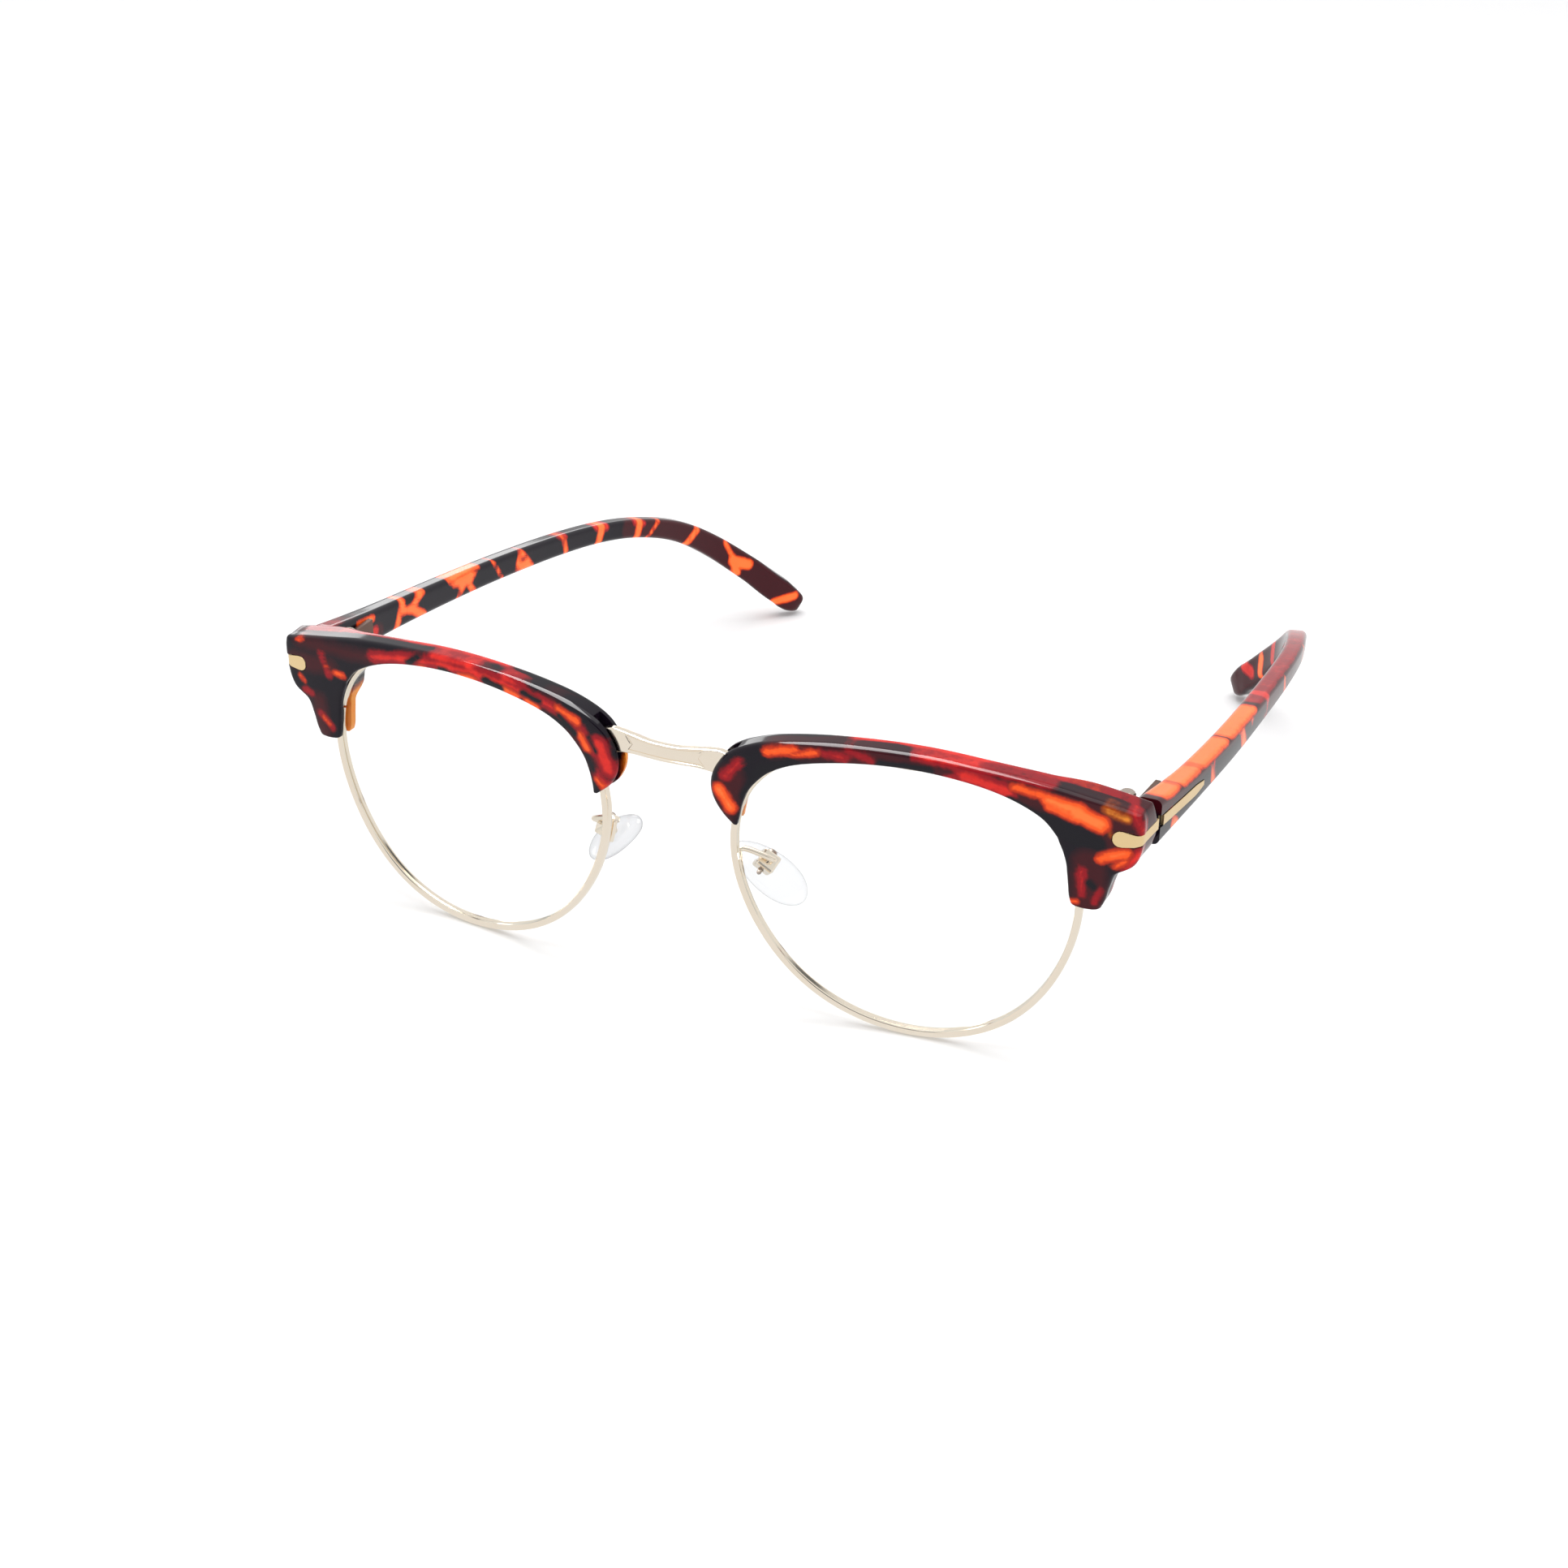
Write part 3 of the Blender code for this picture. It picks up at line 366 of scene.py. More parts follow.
# %% Clouds of the shell
BROW_SHELL = {
    "right": {
        "maroon": ((24.0, 18.6, 31.0, 18.0, 1.5), (27.0, 12.0, 26.6, 7.0, 1.4),
                   (-18.0, 22.4, -27.0, 15.0, 2.0), (14.0, 22.0, 30.0, 21.4, 1.0)),
        "ruby": ((15.1, 22.4, 9.0, 23.6, 0.8), (9.0, 23.6, 2.5, 24.3, 0.8), (2.5, 24.3, -5.5, 24.3, 0.9),
                 (3.4, 25.2, -4.0, 25.4, 0.8), (-5.5, 24.3, -13.0, 23.7, 0.9),
                 (-13.0, 23.7, -19.0, 22.4, 0.8), (-19.0, 22.4, -23.5, 20.4, 0.7),
                 (-23.5, 20.4, -26.0, 17.0, 0.6), (-3.9, 24.8, -5.6, 23.6, 0.9),
                 (-9.8, 25.0, -12.6, 24.5, 0.7), (-14.8, 21.0, -17.6, 20.0, 0.5),
                 (-26.8, 18.4, -28.4, 14.6, 1.3), (-26.4, 13.4, -27.6, 12.0, 0.8),
                 (25.5, 20.2, 24.3, 17.1, 0.4), (26.8, 9.6, 24.7, 7.8, 0.4), (29.4, 13.2, 28.4, 12.8, 0.4)),
        "amber": ((6.0, 22.8, 5.0, 22.8, 0.1), (-1.6, 23.3, -4.5, 23.3, 0.3),
                  (-9.8, 23.1, -12.3, 22.7, 0.35), (-14.2, 22.3, -16.0, 21.6, 0.4),
                  (-19.8, 22.6, -23.2, 21.2, 0.4), (-23.6, 19.2, -24.8, 17.2, 0.35),
                  (-26.2, 12.6, -27.2, 11.6, 0.2), (23.1, 17.8, 21.5, 17.5, 0.2),
                  (24.6, 19.0, 24.8, 18.2, 0.0), (30.4, 15.4, 29.6, 14.8, 0.1), (26.4, 9.2, 25.2, 8.2, 0.0),
                  (30.2, 21.6, 29.2, 21.8, 0.0)),
        "ink": ((1.8, 23.3, -0.1, 22.8, 0.8), (-6.6, 23.7, -9.2, 23.1, 0.8),
                (-13.4, 23.6, -16.6, 22.8, 0.55), (-16.8, 20.8, -20.6, 20.0, 0.8),
                (-20.0, 21.4, -22.6, 19.2, 0.6), (-25.2, 19.2, -26.4, 17.1, 0.4),
                (5.8, 24.8, 8.0, 23.1, 0.6), (-24.6, 16.0, -25.8, 13.8, 0.6)),
    },
    "left": {
        "maroon": ((-26.0, 18.0, -27.6, 12.0, 1.8), (-20.0, 23.4, -8.0, 24.4, 1.3),
                   (-8.0, 24.4, 31.0, 20.6, 1.8), (26.0, 13.0, 26.0, 6.6, 2.4),
                   (29.0, 19.0, 31.6, 14.0, 2.0)),
        "ruby": ((-12.6, 24.0, -9.3, 23.7, 0.4), (-8.9, 24.9, -5.1, 23.7, 0.3),
                 (1.0, 25.5, 10.0, 25.2, 0.6), (5.6, 22.6, 9.0, 21.6, 0.7), (7.8, 23.7, 14.2, 22.3, 1.1),
                 (10.0, 24.8, 20.5, 23.8, 0.1), (25.0, 11.8, 25.2, 8.0, 0.4), (27.6, 9.0, 27.0, 7.0, 0.2),
                 (31.6, 22.0, 33.2, 19.0, 0.5), (31.0, 13.6, 32.8, 15.6, 0.9),
                 (-27.2, 17.8, -24.8, 20.4, 0.5)),
        "amber": ((-28.2, 15.6, -26.3, 12.8, 0.75), (-20.9, 22.7, -16.7, 23.7, 0.35),
                  (-16.7, 22.9, -13.4, 23.9, 0.2), (15.0, 23.2, 20.5, 22.2, 0.35),
                  (19.8, 22.0, 24.5, 20.9, 0.85), (23.8, 20.7, 27.4, 19.4, 1.1),
                  (20.0, 21.0, 24.6, 19.6, 0.45), (27.6, 14.2, 31.0, 15.6, 0.6),
                  (29.6, 13.2, 30.8, 14.2, 0.2), (23.8, 6.6, 24.6, 6.8, 0.0),
                  (30.4, 17.0, 31.6, 18.0, 0.1)),
        "honey": ((27.8, 21.8, 30.8, 20.8, 0.6), (28.4, 18.6, 28.8, 18.0, 0.3)),
        "ink": ((-16.6, 21.8, -21.8, 19.8, 0.7), (-21.8, 19.8, -24.2, 15.0, 0.8),
                (-24.4, 20.4, -21.8, 22.4, 0.3), (-15.4, 20.8, -12.6, 21.6, 0.5),
                (-4.3, 23.5, 3.0, 23.7, 0.8), (14.5, 21.0, 19.5, 18.8, 0.7), (19.5, 18.7, 24.0, 16.8, 1.3),
                (24.0, 16.8, 27.0, 16.4, 1.1), (26.2, 10.0, 26.8, 9.4, 0.6)),
    },
}
# Behind the eyewire both lobes are paler. Partly this is the shell's own honey and maroon, and partly
# painted light: the honey on the nasal wall is made wider so that the wall stays bright where it lies in
# shade.
REAR_SHELL_AND_PAINTED_LIGHT = {
    "maroon": ((-26.0, 12.0, -20.0, 22.0, 3.0), (-12.0, 24.0, 14.0, 24.0, 1.6),
               (14.0, 23.6, 31.0, 20.0, 2.4), (31.0, 21.0, 32.4, 14.0, 3.0)),
    # The honey capsule from (-28.4, 12.8) to (-29.6, 17.0) is painted light: it lightens the nasal wall,
    # which lies in shade.
    "honey": ((-24.6, 10.5, -25.2, 17.0, 2.2), (24.0, 7.0, 24.0, 16.0, 1.9),
              (-28.4, 12.8, -29.6, 17.0, 1.6)),
    "ruby": ((27.6, 8.0, 28.0, 14.0, 1.2), (-8.0, 25.2, 10.0, 25.0, 1.3), (11.0, 24.8, 24.0, 23.2, 0.6),
             (25.0, 22.8, 31.0, 21.6, 0.5)),
    "amber": ((-21.0, 20.6, -17.0, 22.6, 0.7), (30.6, 19.0, 31.4, 15.0, 0.6),
              (22.5, 22.8, 26.0, 22.2, 0.3)),
    "ink": ((-13.0, 25.4, -24.0, 23.4, 1.3),),
}
TEMPLE_SHELL = {
    "right": {
        "maroon": ((96.0, 0.0, 153.0, 0.0, 2.6), (5.0, -0.8, 14.0, -1.0, 1.4)),
        "ruby": ((7.0, -0.6, 13.0, -0.8, 0.9), (0.0, 4.2, 40.0, 3.4, 0.8), (40.0, 3.4, 100.0, 2.9, 0.6),
                 (72.6, 1.9, 74.6, 1.6, 0.6), (85.0, 1.7, 88.0, 1.4, 0.9), (97.4, 1.4, 99.6, 1.2, 0.8)),
        "amber": ((7.6, 1.7, 12.2, 1.6, 0.55), (21.6, 2.2, 19.4, -2.6, 0.75), (21.0, 0.4, 23.6, 0.2, 0.6),
                  (28.0, 2.3, 23.6, 0.0, 0.65), (23.6, 0.4, 28.6, -2.2, 0.75), (36.4, 2.0, 46.4, 2.3, 0.5),
                  (38.2, 1.0, 44.0, 1.2, 0.8), (40.4, 0.0, 39.0, -2.4, 0.6), (42.4, 0.0, 44.6, -2.3, 0.6),
                  (39.6, 0.3, 43.2, 0.3, 0.6), (50.6, 1.8, 53.6, -2.0, 0.35), (59.6, 2.0, 57.6, -2.0, 0.5),
                  (59.8, 1.6, 63.6, -2.0, 0.5), (59.4, -0.9, 61.6, -1.2, 0.9), (73.6, 2.0, 75.0, -2.0, 0.6),
                  (86.6, 1.8, 85.6, -2.0, 1.0), (98.6, 1.8, 98.2, -1.8, 0.9),
                  (104.4, 1.8, 101.6, -1.8, 0.35), (116.4, 1.6, 114.6, -2.0, 0.75),
                  (125.4, 1.8, 129.2, 0.0, 0.5), (129.4, -0.4, 133.4, 0.7, 1.1),
                  (130.8, -1.2, 132.0, -2.0, 0.9), (147.2, 1.3, 144.2, -2.2, 0.85)),
        "ink": ((41.8, -2.2, 41.6, -1.4, 0.3),),
    },
    "left": {
        "maroon": ((0.0, 3.0, 60.0, 2.2, 1.6), (60.0, 0.0, 152.0, 0.0, 2.4)),
        "ruby": ((52.0, 2.9, 120.0, 2.5, 0.9), (3.0, 0.6, 12.0, 0.2, 0.4), (24.0, 1.6, 24.0, -2.4, 0.5),
                 (57.0, 2.0, 56.0, -2.0, 0.8), (126.0, 2.0, 128.0, -1.0, 1.2),
                 (142.0, 2.0, 140.0, 0.0, 1.3)),
        "amber": ((3.2, 5.7, 6.8, 5.4, 2.9), (10.6, 5.2, 16.6, 5.0, 2.9), (20.2, 4.9, 31.2, 4.7, 2.9),
                  (34.8, 4.6, 48.6, 4.45, 2.75), (5.6, -1.6, 7.4, -2.6, 0.8), (22.4, 0.6, 24.6, -1.6, 0.8),
                  (39.8, 0.8, 42.4, -2.0, 1.0), (46.0, 1.0, 46.6, -0.4, 0.4), (70.0, 0.8, 71.4, -1.6, 0.7),
                  (92.0, 0.8, 90.4, -1.4, 0.8), (134.0, 1.0, 136.0, -1.4, 1.1)),
        "ink": ((8.9, 4.2, 8.5, 2.2, 0.25), (18.5, 4.0, 18.2, 2.2, 0.25), (33.1, 3.8, 32.6, 1.8, 0.4)),
    },
}
for shell, clouds in (("brow", BROW_SHELL), ("temple", TEMPLE_SHELL)):
    print(shell, "capsules:", {name: sum(map(len, tables.values())) for name, tables in clouds.items()})

# %% [markdown]
# ## Brow bars
#
# A real brow bar is cut from thick plastic and polished. A curve with a bevel would keep one
# section all the way, so this is a section that changes, carried from the nasal lobe to the
# temporal one: along the front face, round the outer edge, along the back and round the inner
# edge, with a small round at each corner. The front bows out a little, by BROW_CROWN sin(pi k)
# at a share k of the way across. The back face sits at the depth
#
# back(u, v) = BROW_BACK + 0.4 e(14, 24, u)
#              + (deep - 0.4) e(19, 26, u) e(11.5, 14.5, v) (1 - 0.65 e(16.5, 21.5, v)),
#
# where e is the smoothstep, so that it grows into the endpiece that carries the hinge.

# %% Surface of a brow
BROW_CROWN = 0.12
BROW_ROUNDS = {"inner front": 0.4, "outer front": 0.95, "outer back": 0.6, "inner back": 0.3}
END_TAPER = ((0.97, 0.12), (0.9, 0.24), (0.78, 0.32))


def brow_back(u, v):
    """The depth w of the back face, by the formula above."""
    deep = ENDPIECE_BACK - u * math.sin(WRAP) - BROW_BACK
    full = ease(19, 26, u) * ease(11.5, 14.5, v) * (1 - 0.65 * ease(16.5, 21.5, v))
    return BROW_BACK + 0.4 * ease(14, 24, u) + (deep - 0.4) * full


def brow_to_world(u, v, w, side):
    """rim_to_world, and the endpiece then spreads by w (sin WRAP + 0.08) to meet the temple."""
    point = rim_to_world(u, v, w, side)
    point[..., 0] += side * np.maximum(0.0, w) * (math.sin(WRAP) + 0.08) * ease(20, 30, u)
    return point


def brow_section(width):
    """For each station's width: distance across, lift off the face and share of the way back.

    A round of radius r covers r (1 - cos a) across and r (1 - sin a) of lift, with a from 0 to 90
    degrees. Faces and edges run straight between two rounds.
    """
    small = np.minimum(1.0, width / 3.0)
    r_in, r_top, r_back, r_low = (radius * small for radius in BROW_ROUNDS.values())
    a = np.linspace(0, math.pi / 2, 7)
    face, edge = np.linspace(0, 1, 12)[1:-1], np.linspace(0, 1, 8)[1:-1]
    face_home, edge_home = np.linspace(1, 0, 12)[1:-1], np.linspace(1, 0, 6)[1:-1]
    across = [r_in * (1 - np.cos(a)), r_in + face * (width - r_in - r_top),
              width - r_top * (1 - np.cos(a[::-1])), width + 0 * edge,
              width - r_back * (1 - np.cos(a)), r_low + face_home * (width - r_low - r_back),
              r_low * (1 - np.cos(a[::-1])), 0 * width * edge_home]
    lift = [r_in * (1 - np.sin(a)), -BROW_CROWN * small * np.sin(math.pi * face),
            r_top * (1 - np.sin(a[::-1])), r_top + edge * (r_back - r_top),
            r_back * (1 - np.sin(a)), 0 * width * face_home,
            r_low * (1 - np.sin(a[::-1])), r_in + edge_home * (r_low - r_in)]
    front_points, back_points = 2 * len(a) + len(face), 2 * len(a) + len(face_home)
    share = np.r_[np.zeros(front_points), edge, np.ones(back_points), edge_home]
    return np.hstack(across), np.hstack(lift), share


def brow_rings(side):
    """All rings at once: w runs from BROW_FRONT + lift to brow_back - lift by the share back."""
    rows = smooth(BROW_STATIONS, 8)
    end = rows[-1]
    middle = (end[:2] + end[2:]) / 2
    tip = [np.r_[middle + (end[:2] - middle) * k, middle + (end[2:] - middle) * k] - (0, d, 0, d)
           for k, d in END_TAPER]
    rows = np.vstack([rows, tip])
    inner, outer = rows[:, :2], rows[:, 2:]
    width = np.linalg.norm(outer - inner, axis=1)[:, None]
    step = (outer - inner) / width
    across, lift, share = brow_section(width)
    uv = inner[:, None] + across[..., None] * step[:, None]
    u, v = uv[..., 0], uv[..., 1]
    w = (BROW_FRONT + lift) * (1 - share) + (brow_back(u, v) - lift) * share
    return brow_to_world(u, v, w, side)


print("a brow is a grid of", " x ".join(map(str, brow_rings(1).shape[:2])))

# %% [markdown]
# ## Let-in bands
#
# A slim gold band is pressed into the front of each brow, runs round the endpiece and goes on
# along the temple. It stands a tenth of a millimetre proud, and ROUND_END gives the heights of
# its rounded front end. The same function makes the recess that it lies in: a taller band that
# stands out further.

# %% Bands
BAND_PROUD, BAND_SUNK = 0.12, 0.35
RECESS_PROUD, RECESS_SUNK, RECESS_MORE = 0.8, 0.42, 0.3
END_ROOM, JOINT_ROOM = 0.14, 2.0
ROUND_END = (0.7, 1.35, 1.9, 2.3, 2.35, 2.1, 1.85, 1.7)


def band(name, path, height, proud, sunk, side):
    """A rounded box on end, carried along path: proud outside it, sunk inside it, height tall."""
    along = unit(np.gradient(path, axis=0))
    out = unit(np.stack([along[:, 1], -along[:, 0], np.zeros(len(path))], axis=-1)) * side
    half = (proud + sunk) / 2
    section = rounded_box(1.0, 1.0, min(0.12, half * 0.6), 3, 2)
    up = np.sign(section[:, 1])
    rise = up * (np.abs(section[:, 1]) - 1) + up * np.asarray(height)[:, None] / 2
    rings = (path + out * (proud - half))[:, None] + out[:, None] * section[:, :1] * half
    rings[..., 2] += rise
    return solid(name, rings)


def band_recess(name, path, height, start, end, side):
    """The room for a band: its path goes on by start and end (vectors in mm), and it is taller."""
    longer = np.vstack([path[0] + start, path, path[-1] + end])
    taller = np.r_[height[0], height, height[-1]] + RECESS_MORE
    return band(name, longer, taller, RECESS_PROUD, RECESS_SUNK, side)


def brow_band_path(side):
    """Along the front face at the height of the band, round the corner and back to the joint."""
    knots = [(u, BROW_FRONT - 0.02) for u in (29.0, 29.15, 29.4, 29.8, 30.4, 31.2, 32.0)]
    knots += [(32.35, BROW_FRONT + 0.12), (32.75, BROW_FRONT + 0.4), (33.0, BROW_FRONT + 0.8)]
    knots += [(33.1, w) for w in (-0.2, 1.0, 2.0, 3.0, 4.0, 4.7)]
    u, w = np.array(knots).T
    path = brow_to_world(u, INLAY_Z - RIM[2], w, side)
    path[:, 2] = INLAY_Z
    return path


print("the band's round end is", max(ROUND_END), "mm tall, the rest", INLAY_HEIGHT, "mm")

# %% [markdown]
# ## Cutting and colouring the brows
#
# Three cutters leave the bar: a plug with the outline of the eyewire, a slot at the nose for
# the end of the bridge, and the recess of the gold band.

# %% Brows
ROUND = 2 * math.pi * np.arange(144) / 144
WIRE_ROOM = 0.1
NASAL_SLOT, NASAL_HALF = (-29.4, 16.8, 0.0), (4.0, 6.5, 0.9)


def rim_plug(name, side):
    """A plate with the outline of the eyewire and a little room, from w = -1 to 1."""
    outline = lens_outline(ROUND, np.full(len(ROUND), WIRE_WIDTH + WIRE_ROOM))
    return solid(name, [rim_to_world(outline[:, 0], outline[:, 1], w, side) for w in (-1.0, 1.0)])


def nasal_slot(name, side):
    """A box round NASAL_SLOT whose edges follow the rim's own axes."""
    centre, origin = rim_to_world(*NASAL_SLOT, side), rim_to_world(0, 0, 0, side)
    to_u, to_v, to_w = ((rim_to_world(*axis, side) - origin) * half
                        for axis, half in zip(np.eye(3), NASAL_HALF))
    corners = np.array([centre + to_u * a + to_v * b for a, b in ((-1, -1), (1, -1), (1, 1), (-1, 1))])
    return solid(name, [corners - to_w, corners + to_w])


for name, side in SIDES.items():
    brow = solid(name + "_brow_bar", brow_rings(side))
    path = brow_band_path(side)
    height = np.array(ROUND_END + (INLAY_HEIGHT,) * (len(path) - len(ROUND_END)))
    start, end = unit(path[0] - path[1]) * END_ROOM, np.array([0, JOINT_ROOM, 0])
    recess = band_recess(name + "_recess", path, height, start, end, side)
    carve(brow, [rim_plug(name + "_channel", side), nasal_slot(name + "_slot", side), recess])
    plan, depth = rim_plan(vertices_mm(brow), side)
    paint(brow, plan, BROW_SHELL[name], ease(0.4, 1.1, depth))
    piece(brow, "frame", "tortoise", name + "_brow")
    bar = band(name + "_brow_band", path, height, BAND_PROUD, BAND_SUNK, side)
    piece(bar, "frame", "inlay_gold", name + "_brow_inlay")
    print(name, "brow:", len(brow.data.vertices), "points, band:", len(bar.data.vertices))

# %% [markdown]
# ## Temples
#
# A temple is a flat bar that is bent down behind the ear. Its section stays upright across the
# line of the temple, so that its outer face has no twist. The colour fields use the distance
# along the temple and the height across it, taken at the nearest station.

# %% Line and section of a temple
TEMPLE_ROWS = smooth(TEMPLE_STATIONS, 12)
BAND_FROM, BAND_TO = 9.0, 30.0
BAND_DROP, FALL_FROM, BAND_FALL = 0.3, 8.8, 0.105


def temple_frame(rows):
    """Middle line, outward direction, upward direction and length so far."""
    along = np.gradient(rows[:, :3], axis=0)
    along[0] = (0.0, 1.0, 0.0)
    along = unit(along)
    across = unit(np.stack([along[:, 1], -along[:, 0], np.zeros(len(rows))], axis=-1))
    up = unit(np.cross(across, along))
    middle = rows[:, :3] - across * rows[:, 4:5] / 2
    length = np.r_[0, np.cumsum(np.linalg.norm(np.diff(rows[:, :3], axis=0), axis=1))]
    return middle, across, up, length


middle, across, up, length = temple_frame(TEMPLE_ROWS)


def temple_rings(side):
    """middle + a across + b up for each point (a, b) of a rounded box, kept above the table."""
    rings = []
    for m, a, b, row in zip(middle, across, up, TEMPLE_ROWS):
        t, h = row[4] / 2, row[3] / 2
        section = rounded_box(t, h, min(0.95, t * 0.55, h * 0.6), 6, 5)
        p = m + a * section[:, :1] + b * section[:, 1:]
        rings.append(behind_rim(p[:, 0], p[:, 1], np.maximum(p[:, 2], 0.0), side))
    return rings


def temple_plan(points, side):
    """(length along the temple, height above its middle line) of points given in mm."""
    local = np.stack([points[:, 0] * side, points[:, 1] - RIM[1], points[:, 2]], axis=-1)
    nearest = np.argmin(((middle - local[:, None]) ** 2).sum(-1), axis=1)
    offset = local - middle[nearest]
    along = unit(np.cross(up[nearest], across[nearest]))
    along *= np.sign(along[:, 1:2])
    far = length[nearest] + (offset * along).sum(1)
    return np.stack([far, (offset * up[nearest]).sum(1)], axis=-1)


print("temple length along its bend: %.1f mm" % length[-1])

# %% [markdown]
# ## Cutting and colouring the temples
#
# The gold band goes on from the brow at the same height, falls with the temple by BAND_FALL for
# each millimetre and ends in a short taper.

# %% Temples
for name, side in SIDES.items():
    temple = solid(name + "_temple_bar", temple_rings(side))
    rows = smooth(TEMPLE_STATIONS, 6)
    run = rows[(rows[:, 1] > BAND_FROM) & (rows[:, 1] < BAND_TO)]
    fall = (run[:, 1] - FALL_FROM) * BAND_FALL
    path = behind_rim(run[:, 0], run[:, 1], INLAY_Z - BAND_DROP - fall, side)
    height = np.full(len(path), INLAY_HEIGHT)
    height[-2:] = (1.3, 0.8)
    start, end = unit(path[0] - path[1]) * JOINT_ROOM, unit(path[-1] - path[-2]) * END_ROOM
    carve(temple, [band_recess(name + "_temple_recess", path, height, start, end, side)])
    paint(temple, temple_plan(vertices_mm(temple), side), TEMPLE_SHELL[name], crisp=2.0)
    piece(temple, name + "_temple", "tortoise", name + "_temple")
    bar = band(name + "_temple_band", path, height, BAND_PROUD, BAND_SUNK, side)
    piece(bar, name + "_temple", "inlay_gold", name + "_temple_inlay")
    print(name, "temple:", len(temple.data.vertices), "points, band:", len(bar.data.vertices))

# %% [markdown]
# ## Eyewires
#
# An eyewire is a drawn wire with a V groove in its inner face, bent round the lens. Each point
# of the section, (outwards from the opening, back from the middle), becomes one line round the
# rim. The ring is left open by one degree, where the closing blocks meet behind the brow.

# %% Section of an eyewire
WIRE_HALF, GROOVE_HALF = WIRE_DEPTH / 2, 0.35
WIRE_START, WIRE_TURN = math.radians(19.5), math.radians(359.0)

curve = np.linspace(1, -1, 7)
outer_face = np.stack([WIRE_WIDTH - 0.08 * curve ** 2, curve * (WIRE_HALF - 0.16)], axis=-1)
front_edge = np.array([(WIRE_WIDTH - 0.15, 0.03 - WIRE_HALF), (WIRE_WIDTH - 0.3, -WIRE_HALF),
                       (0.25, -WIRE_HALF), (0.12, 0.03 - WIRE_HALF), (0.0, 0.14 - WIRE_HALF)])
groove = [(0.0, -GROOVE_HALF), (GROOVE, 0.0), (0.0, GROOVE_HALF)]
wire_section = np.vstack([outer_face, front_edge, groove, front_edge[::-1] * (1, -1)])
wire_angles = WIRE_START + WIRE_TURN * np.arange(289) / 288


def wire_rings(side):
    """One outline of the opening for each point of the section, grown by its first number."""
    lines = []
    for grow, w in wire_section:
        outline = lens_outline(wire_angles, np.full(len(wire_angles), grow))
        lines.append(rim_to_world(outline[:, 0], outline[:, 1], w, side))
    return np.stack(lines, axis=1)


print("lens opening: %.1f mm wide" % np.ptp(lens_outline(wire_angles)[:, 0]))

# %% [markdown]
# ## Lenses
#
# A lens is a thin bowed shell, and its edge comes to a bevel that sits in the groove. At a share
# s of the way out to its edge, a face stands LENS_SAG (1 - s^2) in front of its rim. The shares
# go as a sine, so that the rings crowd together where the bevel catches the light.

# %% Eyewires with their lenses
LENS_HALF, BEVEL_HALF = 0.8, 0.3
EDGE_ROOM, BEVEL_ROOM = 0.08, 0.12
SHARES = np.sin(np.linspace(0.04, 1, 26) * math.pi / 2)


def lens_rings(side):
    """The front face from the middle out, the bevel, and the back face to the middle again."""
    edge = lens_outline(ROUND, np.full(len(ROUND), -EDGE_ROOM))
    tip = lens_outline(ROUND, np.full(len(ROUND), GROOVE - BEVEL_ROOM))
    faces = [(LENS_CENTRE + (edge - LENS_CENTRE) * s, -LENS_SAG * (1 - s * s)) for s in SHARES]
    layers = [(uv, bow - LENS_HALF) for uv, bow in faces]
    layers += [(edge, -BEVEL_HALF), (tip, 0.0), (edge, BEVEL_HALF)]
    layers += [(uv, bow + LENS_HALF) for uv, bow in faces[::-1]]
    return [rim_to_world(uv[:, 0], uv[:, 1], w, side) for uv, w in layers]


for name, side in SIDES.items():
    wire = solid(name + "_eyewire_band", wire_rings(side))
    piece(wire, "frame", "champagne_gold", name + "_eyewire")
    lens = solid(name + "_lens_blank", lens_rings(side))
    piece(lens, "frame", "clear_lens", name + "_lens")
    print(name, "eyewire:", len(wire.data.vertices), "points, lens:", len(lens.data.vertices))

# %% [markdown]
# ## Bridge
#
# The bridge is a bent band with a shallow ribbon stamped in its front. The ribbon's ends are
# notched, and d is the distance inside its edge. The front face is let in by
#
# RIBBON_CUT exp(-(d / RIBBON_LINE)^2) + RIBBON_FLOOR e(0, 0.2, d),
#
# a fine line along the edge and a flat floor inside it.

# %% Bridge
RIBBON_HALF, RIBBON_NOTCH, RIBBON_MARGIN = 6.5, 1.2, 0.5
RIBBON_CUT, RIBBON_LINE, RIBBON_FLOOR = 0.2, 0.15, 0.06
BRIDGE_ROUND, BRIDGE_TILT, BRIDGE_SHARP = 0.24, 0.05, 50

half_rows = np.array(BRIDGE_STATIONS)
mirrored = half_rows[:-1] * (-1, 1, 1, 1)
bridge_rows = smooth(np.vstack([mirrored, half_rows[::-1]]), 26)
along = unit(np.gradient(bridge_rows[:, :2], axis=0))
backward = np.stack([-along[:, 1], along[:, 0], np.zeros(len(bridge_rows))], axis=-1)


def bridge_ring(x, y, z, tall, back):
    """A rounded box on end, its front let in by the ribbon, and leant by BRIDGE_TILT."""
    t, h = BRIDGE_THICK / 2, tall / 2
    depth, rise = rounded_box(t, h, BRIDGE_ROUND, 5, 44).T
    end = RIBBON_HALF - RIBBON_NOTCH * (1 - np.abs(rise) / h)
    inside = np.minimum(end - abs(x), (h - RIBBON_MARGIN) - np.abs(rise))
    cut = RIBBON_CUT * np.exp(-(inside / RIBBON_LINE) ** 2) + RIBBON_FLOOR * ease(0, 0.2, inside)
    depth = depth + np.where(depth < -t + 0.02, cut, 0.0)
    points = np.array([x, RIM[1] + y, z]) + back * depth[:, None]
    points[:, 2] += rise
    points[:, 1] -= BRIDGE_TILT * rise
    return points


rings = [bridge_ring(*row, back) for row, back in zip(bridge_rows, backward)]
bridge = solid("bridge_band", rings, BRIDGE_SHARP)
carve(bridge, [rim_plug(name + "_end_cut", side) for name, side in SIDES.items()], BRIDGE_SHARP)
piece(bridge, "frame", "champagne_gold", "bridge")
print("bridge points:", len(bridge.data.vertices))

